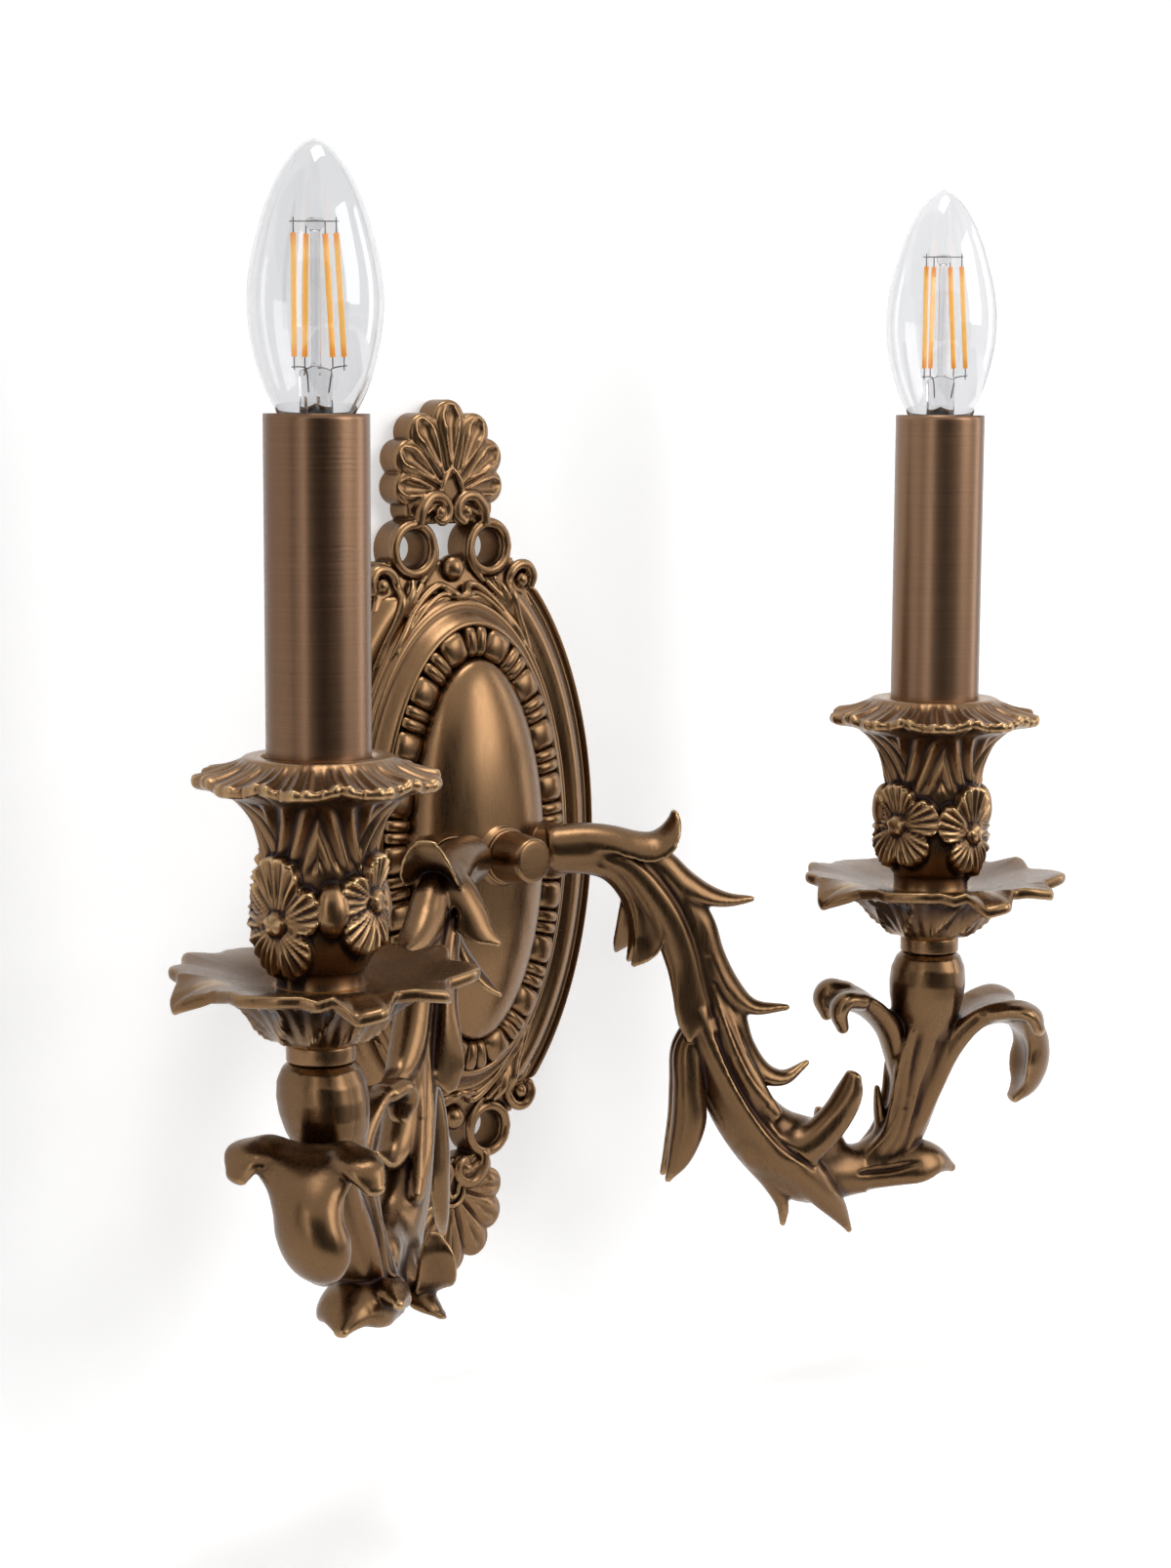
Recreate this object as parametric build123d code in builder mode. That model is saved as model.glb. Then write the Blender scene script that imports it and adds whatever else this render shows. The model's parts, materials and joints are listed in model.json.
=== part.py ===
from build123d import *

import os
from math import cos, pi, radians, sin, tan

# Double arm wall sconce: an oval backplate on the wall, two cast arms, each with a drip pan,
# a candle cup, a plain candle sleeve and a candle bulb with a 14 mm screw cap.
# Millimetres. +Z is up, the wall is the plane Y = 0 and the sconce stands out along -Y.
# The origin is on the wall, behind the cap nut in the middle of the backplate.
# "depth" is a distance from the wall, "level" is a height above the origin.

os.makedirs("parts", exist_ok=True)

# ---------------------------------------------------------------- driving dimensions
# backplate
oval_half_width = 60.0
oval_half_height = 98.6
oval_cut_level = 84.0          # the oval ends here and the scrollwork begins
rim_depth = 9.0
plate_wall = 2.5
bead_half_width = 36.0         # outside of the bead ring
bead_half_height = 70.0
bead_band = 11.0
bead_depth = 22.0
dome_depth = 34.8
seat_rise = 1.5                # of the flat seat of the cap nut's washer above the dome
scroll_depth = 9.5
palmette_level = 118.0
palmette_radius = 15.5
palmette_lobe = 6.0
palmette_lobes = 9
scroll_ring_offset = 14.4
scroll_ring_level = 93.0
scroll_ring_outer = 9.2
scroll_ring_hole = 5.6
ball_level = 87.0
ball_radius = 4.0
outer_volute_offset = 27.0
outer_volute_level = 83.0
outer_volute_radius = 5.3
inner_volute_offset = 4.6
inner_volute_level = 104.0
inner_volute_radius = 4.6

# wall bracket and what is on it
bracket_width = 18.0
bracket_length = 124.0
bracket_thickness = 2.0
slot_spacing = 90.0
slot_length = 14.0
slot_width = 4.6
stud_radius = 3.0
stud_reach = 9.0               # past the cap nut's washer
stud_nut_flats = 10.0
stud_nut_height = 5.0
earth_level = -22.0
earth_radius = 2.0
earth_head_radius = 3.6
earth_head_height = 2.6
block_width = 30.0
block_depth = 12.0
block_height = 14.0
block_level = 22.0
block_poles = 3
block_screw_radius = 1.9

# cap nut in the middle
finial_washer_radius = 8.3
finial_washer_height = 1.2
finial_base_radius = 7.9
finial_face_radius = 6.8
finial_height = 12.2
finial_bore_spare = 1.4        # of the bore past the stud's end

# collars and arms
collar_offset = 21.9           # of the middle of a collar's front face
collar_stand = 3.1             # of the same point in front of the dome
collar_angle = 20.0            # between a collar's axis and straight out from the wall
collar_radius = 8.0
collar_height = 9.0
boss_radius = 8.6
boss_stand = 0.9               # of a boss's inner face in front of the bead ring
arm_root_radius = 7.7
arm_root_height = 5.0
arm_radius = 6.8
arm_bore_radius = 2.7
leaf_thickness = 7.0
broad_leaf_width = 30.0
drawn_reach = 113.5394         # of the arm that the outlines below are drawn for
baluster_radius = 11.8

# threaded tubes and nuts
nipple_radius = 5.0
nipple_bore_radius = 3.2
nut_flats = 14.0
nut_height = 3.5
arm_nipple_tail = 3.0          # past its nut

# candle column
candle_offset = 120.0
candle_depth = 102.6
neck_radius = 9.0
neck_level = -34.4
neck_height = 5.2
pan_radius = 41.3
pan_height = 15.2              # of the pan's well above the neck ring
pan_thickness = 2.4
pan_notches = 8
cup_foot_radius = 11.6
cup_wall = 3.05                # from the sleeve's outside to the outside of the body
cup_lip_reach = 18.75          # from the sleeve's outside to the lip's edge
cup_lip_height = 54.0          # of the lip's middle above the pan
cup_lip_thickness = 3.0
cup_lip_notches = 16
cup_rim_width = 6.25           # from the sleeve's outside to the outside of the rim
cup_rim_height = 6.6           # above the lip's middle
cup_floor_height = 34.0        # above the pan
cup_floor_thickness = 3.0
sleeve_radius = 13.75
sleeve_wall = 1.2
sleeve_height = 95.0
holder_gap = 1.05              # between sleeve and lampholder
holder_stand = 38.0            # of the lampholder's foot above the cup's floor
holder_height = 69.0
holder_floor_height = 39.0
holder_floor_thickness = 4.0
shell_radius = 7.0             # inside
shell_wall = 0.45
shell_height = 27.0

# bulb
bulb_radius = 17.5
bulb_height = 103.0
bulb_waist_height = 60.0       # of the widest place above the tip
bulb_cap_height = 27.0
bulb_glass_wall = 0.9
bulb_tip_radius = 2.2
bulb_tip_height = 0.7
contact_height = 3.5           # of the lampholder's centre contact
insulator_height = 4.0
filament_radius = 0.8
filament_length = 31.0
filament_height = 48.5         # of their lower ends above the tip
filament_count = 4
filament_spread = 4.6

# leads
lead_radius = 1.2
lead_drop = 9.0                # of the slanting run between the block and the arm's tube

# clearances
running_gap = 0.05             # between a turning or sliding piece and what guides it
thread_gap = 0.03              # between threaded pieces that stay together
loose_gap = 0.3

# ---------------------------------------------------------------- worked out from these
seat_depth = dome_depth + seat_rise
finial_depth = seat_depth + finial_washer_height
stud_end_depth = finial_depth + stud_reach
collar_depth = dome_depth + collar_stand
collar_lean = radians(collar_angle)
boss_height = (collar_depth - bead_depth - boss_stand) / cos(collar_lean) - collar_height
arm_root_offset = collar_offset + arm_root_height * sin(collar_lean)
arm_root_depth = collar_depth + arm_root_height * cos(collar_lean)
arm_reach = Vector(candle_offset - arm_root_offset, candle_depth - arm_root_depth).length
arm_outward = (candle_offset - arm_root_offset) / arm_reach
arm_forward = (candle_depth - arm_root_depth) / arm_reach
arm_stretch = arm_reach / drawn_reach
pan_level = neck_level + neck_height + pan_height
cup_body_radius = sleeve_radius + cup_wall
cup_lip_radius = sleeve_radius + cup_lip_reach
cup_lip_level = pan_level + cup_lip_height
cup_rim_radius = sleeve_radius + cup_rim_width
cup_rim_level = cup_lip_level + cup_rim_height
cup_floor_level = pan_level + cup_floor_height
sleeve_seat_level = cup_lip_level
holder_radius = sleeve_radius - sleeve_wall - holder_gap
holder_level = cup_floor_level + holder_stand
holder_floor_level = holder_level + holder_floor_height
bulb_tip_level = holder_floor_level + contact_height
bulb_top_level = bulb_tip_level + bulb_height
bulb_waist_level = bulb_tip_level + bulb_waist_height
bulb_cap_top = bulb_tip_level + bulb_cap_height
filament_level = bulb_tip_level + filament_height
SIDES = {"left": -1, "right": 1}


def wall_plane(depth):
    """The upright plane at a distance from the wall: its x is +X, its y is +Z, it faces -Y."""
    return Plane(origin=(0, -depth, 0), x_dir=(1, 0, 0), z_dir=(0, -1, 0))


def collar_plane(side, distance):
    """The plane across a collar's axis, at a distance outward from its front face."""
    lean = (side * sin(collar_lean), -cos(collar_lean), 0)
    origin = Vector(side * collar_offset, -collar_depth, 0) + Vector(*lean) * distance
    return Plane(origin=origin, x_dir=(0, 0, 1), z_dir=lean)


def arm_plane(side):
    """The upright plane of an arm: x runs out along the arm from its root, y is +Z."""
    outward = Vector(side * arm_outward, -arm_forward, 0)
    origin = (side * arm_root_offset, -arm_root_depth, 0)
    return Plane(origin=origin, x_dir=outward, z_dir=outward.cross(Vector(0, 0, 1)))


def candle_plane(side, level):
    """The level plane on a candle's axis."""
    return Plane(origin=(side * candle_offset, -candle_depth, level))


def candle_section(side):
    """The upright plane through a candle's axis: x is the radius, y is +Z."""
    return Plane(
        origin=(side * candle_offset, -candle_depth, 0), x_dir=(1, 0, 0), z_dir=(0, -1, 0)
    )


def candle_axis(side):
    return Axis((side * candle_offset, -candle_depth, 0), (0, 0, 1))


def save(piece, name):
    piece.part.label = name
    export_step(piece.part, f"parts/{name}.step")


def turned(side, outline):
    """A piece turned about a candle's axis from a closed outline of radii and levels."""
    with BuildPart() as piece:
        with BuildSketch(candle_section(side)):
            with BuildLine():
                Polyline(*outline, close=True)
            make_face()
        revolve(axis=candle_axis(side))
    return piece


# ---------------------------------------------------------------- backplate
def plate_sections(inset):
    """Depth, half width and half height of the plate's steps, or of the hollow behind them."""
    bead_inner_width = bead_half_width - bead_band
    bead_inner_height = bead_half_height - bead_band
    ridge = 7.0
    outer = [
        (rim_depth - 2, oval_half_width, oval_half_height),
        (rim_depth, oval_half_width - 2.5, oval_half_height - 2.5),
        (bead_depth - 9, bead_half_width + ridge + 3, bead_half_height + ridge + 3),
        (bead_depth - 5, bead_half_width + ridge, bead_half_height + ridge),
        (bead_depth - 4, bead_half_width + 1, bead_half_height + 1),
        (bead_depth, bead_half_width - 1, bead_half_height - 1),
        (bead_depth + 0.5, bead_inner_width + 1, bead_inner_height + 1),
        (bead_depth + 4, bead_inner_width - 1.5, bead_inner_height - 2),
        (dome_depth - 4, bead_inner_width - 6.5, bead_inner_height - 10),
        (dome_depth - 1.5, bead_inner_width - 13, bead_inner_height - 20),
        (dome_depth, bead_inner_width - 19, bead_inner_height - 34),
    ]
    sections = [(0, oval_half_width - inset, oval_half_height - inset)]
    for depth, width, height in outer:
        sections.append((depth - inset, width - inset, height - inset))
    return sections


with BuildPart() as plate_hollow:
    for depth, width, height in plate_sections(plate_wall):
        with BuildSketch(wall_plane(depth)):
            Ellipse(width, height)
    loft(ruled=True)
    split(bisect_by=Plane.XY.offset(oval_cut_level - plate_wall), keep=Keep.BOTTOM)
    split(bisect_by=Plane.XY.offset(plate_wall - oval_cut_level), keep=Keep.TOP)

with BuildPart() as backplate:
    for depth, width, height in plate_sections(0):
        with BuildSketch(wall_plane(depth)):
            Ellipse(width, height)
    loft(ruled=True)
    split(bisect_by=Plane.XY.offset(oval_cut_level), keep=Keep.BOTTOM)
    split(bisect_by=Plane.XY.offset(-oval_cut_level), keep=Keep.TOP)
    add(plate_hollow.part, mode=Mode.SUBTRACT)
    # palmette, small volutes, open rings, outer volutes and ball, above and below the oval
    with BuildSketch(wall_plane(0)) as scrollwork:
        with Locations((0, palmette_level)):
            Circle(palmette_radius + 0.5)
            lobe_step = 270 / (palmette_lobes - 1)
            with PolarLocations(palmette_radius, palmette_lobes, -45, 270, endpoint=True):
                Circle(palmette_lobe)
        for side in SIDES.values():
            with Locations((side * inner_volute_offset, inner_volute_level)):
                Circle(inner_volute_radius)
            with Locations((side * scroll_ring_offset, scroll_ring_level)):
                Circle(scroll_ring_outer)
                Circle(scroll_ring_hole, mode=Mode.SUBTRACT)
            with Locations((side * outer_volute_offset, outer_volute_level)):
                Circle(outer_volute_radius)
    extrude(amount=scroll_depth)
    with BuildSketch(wall_plane(0)):
        for side in SIDES.values():
            with Locations((side * inner_volute_offset, -inner_volute_level)):
                Circle(inner_volute_radius)
            with Locations((side * scroll_ring_offset, -scroll_ring_level)):
                Circle(scroll_ring_outer)
                Circle(scroll_ring_hole, mode=Mode.SUBTRACT)
            with Locations((side * outer_volute_offset, -outer_volute_level)):
                Circle(outer_volute_radius)
        with Locations((0, -palmette_level)):
            Circle(palmette_radius + 0.5)
            with PolarLocations(palmette_radius, palmette_lobes, -225, 270, endpoint=True):
                Circle(palmette_lobe)
    extrude(amount=scroll_depth)
    for end in (-1, 1):
        with Locations((0, -scroll_depth, end * ball_level)):
            Sphere(ball_radius)
        with BuildSketch(wall_plane(0)):
            with Locations((0, end * (ball_level - ball_radius / 2))):
                Rectangle(2 * ball_radius, ball_radius)
        extrude(amount=scroll_depth)
    # flat seat for the cap nut's washer, and the stud's hole
    with BuildSketch(wall_plane(dome_depth - plate_wall)):
        Circle(finial_washer_radius + 0.6)
    extrude(amount=seat_depth - dome_depth + plate_wall)
    with BuildSketch(wall_plane(0)):
        Circle(stud_radius + loose_gap)
    extrude(amount=seat_depth, mode=Mode.SUBTRACT)
    # a boss under each collar, flat inside and out, and the hole for the arm's threaded tube
    for side in SIDES.values():
        with BuildSketch(collar_plane(side, -collar_height - boss_height)):
            Circle(boss_radius)
        extrude(amount=boss_height)
    for side in SIDES.values():
        with BuildSketch(collar_plane(side, -collar_height - boss_height)):
            Circle(nipple_radius + thread_gap)
        extrude(amount=boss_height, mode=Mode.SUBTRACT)
        with BuildSketch(collar_plane(side, -collar_height)):
            Circle(boss_radius + 1)
        extrude(amount=collar_height, mode=Mode.SUBTRACT)
save(backplate, "backplate")

# ---------------------------------------------------------------- wall bracket
with BuildPart() as wall_bracket:
    with BuildSketch(wall_plane(0)):
        RectangleRounded(bracket_width, bracket_length, 4)
        with Locations((0, slot_spacing / 2), (0, -slot_spacing / 2)):
            SlotOverall(slot_length, slot_width, rotation=90, mode=Mode.SUBTRACT)
        Circle(stud_radius + thread_gap, mode=Mode.SUBTRACT)
        with Locations((0, earth_level)):
            Circle(earth_radius + thread_gap, mode=Mode.SUBTRACT)
    extrude(amount=bracket_thickness)
save(wall_bracket, "wall_bracket")

with BuildPart() as centre_stud:
    with BuildSketch(wall_plane(0)):
        Circle(stud_radius)
    extrude(amount=stud_end_depth)
    chamfer(centre_stud.faces().sort_by(Axis.Y)[0].edges(), 0.6)
save(centre_stud, "centre_stud")

with BuildPart() as stud_nut:
    with BuildSketch(wall_plane(bracket_thickness)):
        RegularPolygon(stud_nut_flats / 2, 6, major_radius=False)
        Circle(stud_radius + thread_gap, mode=Mode.SUBTRACT)
    extrude(amount=stud_nut_height)
save(stud_nut, "stud_nut")

with BuildPart() as earth_screw:
    with BuildSketch(wall_plane(0)):
        with Locations((0, earth_level)):
            Circle(earth_radius)
    extrude(amount=bracket_thickness)
    with BuildSketch(wall_plane(bracket_thickness)):
        with Locations((0, earth_level)):
            Circle(earth_head_radius)
    extrude(amount=earth_head_height)
    with BuildSketch(wall_plane(bracket_thickness + earth_head_height)):
        with Locations((0, earth_level)):
            Rectangle(2 * earth_head_radius, 0.9)
    extrude(amount=-1.2, mode=Mode.SUBTRACT)
save(earth_screw, "earth_screw")

block_pitch = block_width / block_poles
block_middle = block_level + block_height / 2
block_face = bracket_thickness + block_depth
block_screw_depth = 5.0
with BuildPart() as terminal_block:
    with BuildSketch(wall_plane(bracket_thickness)):
        with Locations((0, block_middle)):
            RectangleRounded(block_width, block_height, 1.5)
    extrude(amount=block_depth)
    with BuildSketch(wall_plane(block_face)):
        with Locations((0, block_middle)):
            with GridLocations(block_pitch, block_height / 2, block_poles, 2):
                Circle(block_screw_radius + thread_gap)
    extrude(amount=-block_screw_depth, mode=Mode.SUBTRACT)
save(terminal_block, "terminal_block")

with BuildPart() as terminal_screws:
    with BuildSketch(wall_plane(block_face - block_screw_depth)):
        with Locations((0, block_middle)):
            with GridLocations(block_pitch, block_height / 2, block_poles, 2):
                Circle(block_screw_radius)
    extrude(amount=block_screw_depth - 1)
save(terminal_screws, "terminal_screws")

# ---------------------------------------------------------------- cap nut and its washer
with BuildPart() as finial_washer:
    with BuildSketch(wall_plane(seat_depth)):
        Circle(finial_washer_radius)
        Circle(stud_radius + running_gap, mode=Mode.SUBTRACT)
    extrude(amount=finial_washer_height)
save(finial_washer, "finial_washer")

with BuildPart() as finial_nut:
    with BuildSketch(wall_plane(finial_depth)):
        Circle(finial_base_radius)
    with BuildSketch(wall_plane(finial_depth + finial_height)):
        Circle(finial_face_radius)
    loft()
    chamfer(finial_nut.faces().sort_by(Axis.Y)[0].edges(), 0.9)
    with BuildSketch(wall_plane(finial_depth)):
        Circle(stud_radius + running_gap)
    extrude(amount=stud_reach + finial_bore_spare, mode=Mode.SUBTRACT)
save(finial_nut, "finial_nut")

# ---------------------------------------------------------------- arms
# The middle line of an arm in its own plane: distance out from the root, level.
arm_line = [
    (0, 0),
    (17, -1),
    (29, -12),
    (37, -40),
    (43, -66),
    (58, -92),
    (80, -109.5),
    (102, -104),
    (drawn_reach, -86),
]
arm_line = [(out * arm_stretch, level) for out, level in arm_line]
arm_end = (arm_reach, neck_level - 17.6)

# Each thorn is a flat triangle in the arm's plane: two feet inside the stem, then the tip.
thorns = [
    [(15, 5), (30, -9), (31.5, 11)],
    [(6, -3), (29, -20), (17.5, -37)],
    [(27, -2), (39, -30), (56, -17)],
    [(40, -45), (49, -72), (68, -52)],
    [(48, -70), (62, -94), (75, -69.5)],
    [(62, -92), (80, -104), (89, -71)],
    [(40, -60), (54, -90), (29, -105)],
    [(58, -96), (76, -110), (66.5, -123)],
    [(74, -108), (94, -112), (89.5, -125.5)],
    [(96, -112), (108, -98), (124, -108)],
]
# Leaves that arch away from the foot of the baluster, seen from the side: distance out from
# the candle's axis, and down from the neck ring.
inner_leaf = [(-6, 21.6), (-22, 8.6), (-32, 11.6), (-30, 23.6), (-24, 16.6), (-5, 32.6)]
outer_leaf = [
    (5, 17.6), (22, 15.6), (37, 23.6), (47, 36.6), (37, 53.6), (38, 38.6), (24, 27.6), (5, 35.6),
]


def bend_radii(points):
    """For each corner, the largest radius that its two runs leave room for."""
    radii = []
    for before, corner, after in zip(points, points[1:], points[2:]):
        run_in = Vector(*corner) - Vector(*before)
        run_out = Vector(*after) - Vector(*corner)
        half_turn = radians(run_in.get_angle(run_out)) / 2
        radii.append(0.45 * min(run_in.length, run_out.length) / tan(half_turn))
    return radii


def lead_route(side):
    """Corners of a lead: down from the terminal block, out through the arm, up the candle."""
    lean = Vector(side * sin(collar_lean), -cos(collar_lean), 0)
    front = Vector(side * collar_offset, -collar_depth, 0)
    slant = (lean - Vector(0, 0, 1)).normalized() * lead_drop
    lead_depth = bracket_thickness + lead_radius + 0.5
    turn_out = front + lean * ((lead_depth - slant.Y - collar_depth) / cos(collar_lean))
    turn_down = turn_out - slant
    start = Vector(turn_down.X, turn_down.Y, block_level)
    plane = arm_plane(side)
    corners = [start, turn_down, turn_out]
    corners += [plane.from_local_coords(Vector(*point)) for point in arm_line]
    end_level = holder_floor_level - holder_floor_thickness
    corners.append(Vector(side * candle_offset, -candle_depth, end_level))
    return [tuple(corner) for corner in corners]


def build_arm(side):
    plane = arm_plane(side)
    stem = [tuple(plane.from_local_coords(Vector(*point))) for point in [*arm_line, arm_end]]
    route = lead_route(side)
    bore_route = route[2:-1] + [stem[-1]]
    with BuildPart() as arm:
        with BuildLine() as stem_line:
            FilletPolyline(*stem, radius=bend_radii(stem))
        with BuildSketch(Plane(origin=stem[0], z_dir=stem_line.line % 0)):
            Circle(arm_radius)
        sweep(path=stem_line.line)
        with Locations(stem[0]):
            Sphere(arm_root_radius)
        with BuildSketch(collar_plane(side, 0)):
            Circle(arm_root_radius)
        extrude(amount=arm_root_height)
        with BuildSketch(collar_plane(side, 0)):
            Circle(arm_root_radius * 2)
        extrude(amount=-arm_root_radius, mode=Mode.SUBTRACT)
        # baluster under the candle
        with BuildSketch(candle_section(side)):
            with BuildLine():
                foot = neck_level - 27
                top_edge = Line((0, neck_level), (neck_radius - 0.6, neck_level))
                Spline(
                    top_edge @ 1,
                    (baluster_radius, neck_level - 10),
                    (arm_radius, foot),
                    tangents=[(1, -0.7), (-0.3, -1)],
                )
                Polyline((arm_radius, foot), (0, foot), (0, neck_level))
            make_face()
        revolve(axis=candle_axis(side))
        # thorns along the stem
        for outline in thorns:
            with BuildSketch(plane):
                with BuildLine():
                    Polyline(*[(out * arm_stretch, level) for out, level in outline], close=True)
                make_face()
            extrude(amount=leaf_thickness / 2, both=True)
        # leaves round the foot of the baluster
        for outline, width in ((inner_leaf, leaf_thickness), (outer_leaf, broad_leaf_width / 2)):
            with BuildSketch(plane):
                with BuildLine():
                    leaf = [(arm_reach + out, neck_level - down) for out, down in outline]
                    Polyline(*leaf, close=True)
                make_face()
            extrude(amount=width, both=True)
        # way for the leads, and threaded holes for the tubes at both ends
        with BuildLine() as bore_line:
            FilletPolyline(*bore_route, radius=bend_radii(bore_route))
        with BuildSketch(Plane(origin=bore_route[0], z_dir=bore_line.line % 0)):
            Circle(arm_bore_radius)
        sweep(path=bore_line.line, mode=Mode.SUBTRACT)
        with BuildSketch(collar_plane(side, 0)):
            Circle(nipple_radius + thread_gap)
        extrude(amount=arm_root_height, mode=Mode.SUBTRACT)
        with BuildSketch(candle_plane(side, neck_level)):
            Circle(nipple_radius + thread_gap)
        extrude(amount=-(neck_level - arm_end[1]), mode=Mode.SUBTRACT)
    return arm


def build_arm_nipple(side):
    """Threaded tube from inside the arm's root, through collar and boss, to past its nut."""
    length = arm_root_height + collar_height + boss_height + nut_height + arm_nipple_tail
    with BuildPart() as arm_nipple:
        with BuildSketch(collar_plane(side, arm_root_height - length)):
            Circle(nipple_radius)
            Circle(nipple_bore_radius, mode=Mode.SUBTRACT)
        extrude(amount=length)
    return arm_nipple


def build_arm_nut(side):
    with BuildPart() as arm_nut:
        with BuildSketch(collar_plane(side, -collar_height - boss_height - nut_height)):
            RegularPolygon(nut_flats / 2, 6, major_radius=False)
            Circle(nipple_radius + thread_gap, mode=Mode.SUBTRACT)
        extrude(amount=nut_height)
    return arm_nut


def build_collar(side):
    with BuildPart() as collar:
        with BuildSketch(collar_plane(side, -collar_height)):
            Circle(collar_radius)
            Circle(nipple_radius + thread_gap, mode=Mode.SUBTRACT)
        extrude(amount=collar_height)
    return collar


def build_leads(side):
    route = lead_route(side)
    radii = bend_radii(route)
    with BuildPart() as leads:
        with BuildLine() as lead_line:
            FilletPolyline(*route, radius=radii)
        with BuildSketch(Plane(origin=route[0], z_dir=lead_line.line % 0)):
            Circle(lead_radius)
        sweep(path=lead_line.line)
    length = sum(edge.length for edge in lead_line.edges())
    print(
        f"leads: length {length:.1f}, volume {leads.part.volume:.1f}"
        f" against {pi * lead_radius**2 * length:.1f}, radii {[round(bend, 1) for bend in radii]}"
    )
    return leads


# ---------------------------------------------------------------- candle column
tube_bore = nipple_radius + thread_gap


def build_candle_nipple(side):
    top = holder_level + 12
    with BuildPart() as candle_nipple:
        with BuildSketch(candle_plane(side, arm_end[1])):
            Circle(nipple_radius)
            Circle(nipple_bore_radius, mode=Mode.SUBTRACT)
        extrude(amount=top - arm_end[1])
    return candle_nipple


def build_neck_ring(side):
    with BuildPart() as neck_ring:
        with BuildSketch(candle_plane(side, neck_level)):
            Circle(neck_radius)
            Circle(tube_bore, mode=Mode.SUBTRACT)
        extrude(amount=neck_height)
    return neck_ring


def build_drip_pan(side):
    base = neck_level + neck_height
    edge = pan_level + pan_thickness
    outline = [
        (tube_bore, base),
        (neck_radius - 0.5, base),
        (neck_radius + 1, base + 2.5),
        (14.0, base + 5.5),
        (19.0, base + 9.5),
        (24.0, pan_level - pan_thickness),
        (pan_radius, edge - pan_thickness),
        (pan_radius, edge),
        (24.0, pan_level),
        (tube_bore, pan_level),
    ]
    blank = turned(side, outline)
    with BuildPart() as drip_pan:
        add(blank.part)
        with BuildSketch(candle_plane(side, edge)):
            with PolarLocations(pan_radius + 2.5, pan_notches):
                Circle(5)
        extrude(amount=-2 * pan_thickness, mode=Mode.SUBTRACT)
    return drip_pan


def build_candle_cup(side):
    seat_radius = sleeve_radius + loose_gap
    hollow_radius = sleeve_radius - sleeve_wall
    half_lip = cup_lip_thickness / 2
    outline = [
        (cup_foot_radius, pan_level),
        (cup_foot_radius, pan_level + 5),
        (cup_body_radius - 1.3, pan_level + 7),
        (cup_body_radius, pan_level + 14),
        (cup_body_radius, pan_level + 29),
        (cup_body_radius - 1.8, pan_level + 36),
        (cup_body_radius - 0.3, cup_lip_level - 10),
        (21.4, cup_lip_level - half_lip - 1.5),
        (cup_lip_radius - 1.5, cup_lip_level - half_lip),
        (cup_lip_radius, cup_lip_level),
        (cup_lip_radius - 1.5, cup_lip_level + half_lip),
        (cup_rim_radius, cup_lip_level + half_lip + 1),
        (cup_rim_radius, cup_rim_level - 1.6),
        (cup_rim_radius - 1.4, cup_rim_level),
        (seat_radius, cup_rim_level),
        (seat_radius, sleeve_seat_level),
        (hollow_radius, sleeve_seat_level),
        (hollow_radius, cup_floor_level),
        (tube_bore, cup_floor_level),
        (tube_bore, cup_floor_level - cup_floor_thickness),
        (9.0, cup_floor_level - cup_floor_thickness),
        (9.0, pan_level),
    ]
    blank = turned(side, outline)
    with BuildPart() as candle_cup:
        add(blank.part)
        with BuildSketch(candle_plane(side, cup_lip_level - cup_lip_thickness)):
            with PolarLocations(cup_lip_radius + 2.2, cup_lip_notches):
                Circle(3.4)
        extrude(amount=2 * cup_lip_thickness, mode=Mode.SUBTRACT)
    return candle_cup


def build_cup_nut(side):
    with BuildPart() as cup_nut:
        with BuildSketch(candle_plane(side, cup_floor_level)):
            RegularPolygon(nut_flats / 2, 6, major_radius=False)
            Circle(tube_bore, mode=Mode.SUBTRACT)
        extrude(amount=nut_height)
    return cup_nut


def build_lampholder(side):
    top = holder_level + holder_height
    shell_seat = shell_radius + shell_wall + thread_gap
    under_floor = holder_floor_level - holder_floor_thickness
    outline = [
        (tube_bore, holder_level),
        (holder_radius, holder_level),
        (holder_radius, top),
        (shell_seat, top),
        (shell_seat, holder_floor_level),
        (bulb_tip_radius + 0.8, holder_floor_level),
        (bulb_tip_radius + 0.8, under_floor),
        (holder_radius - 2, under_floor),
        (holder_radius - 2, holder_level + 14),
        (tube_bore, holder_level + 14),
    ]
    return turned(side, outline)


def build_holder_shell(side):
    top = holder_level + holder_height - 1
    with BuildPart() as holder_shell:
        with BuildSketch(candle_plane(side, top - shell_height)):
            Circle(shell_radius + shell_wall)
            Circle(shell_radius, mode=Mode.SUBTRACT)
        extrude(amount=shell_height)
    return holder_shell


def build_holder_contact(side):
    with BuildPart() as holder_contact:
        with BuildSketch(candle_plane(side, holder_floor_level)):
            Circle(bulb_tip_radius + 2.3)
        extrude(amount=0.8)
        with BuildSketch(candle_plane(side, holder_floor_level + 0.8)):
            Circle(bulb_tip_radius - 0.4)
        extrude(amount=bulb_tip_level - holder_floor_level - 0.8)
    return holder_contact


def build_candle_sleeve(side):
    with BuildPart() as candle_sleeve:
        with BuildSketch(candle_plane(side, sleeve_seat_level)):
            Circle(sleeve_radius)
            Circle(sleeve_radius - sleeve_wall, mode=Mode.SUBTRACT)
        extrude(amount=sleeve_height)
    return candle_sleeve


# ---------------------------------------------------------------- bulb
cap_outer = shell_radius - 0.07
cap_inner = cap_outer - 0.3
insulator_level = bulb_tip_level + bulb_tip_height


def build_bulb_contact(side):
    outline = [
        (0, bulb_tip_level),
        (bulb_tip_radius - 0.5, bulb_tip_level),
        (bulb_tip_radius, insulator_level),
        (0, insulator_level),
    ]
    return turned(side, outline)


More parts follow.
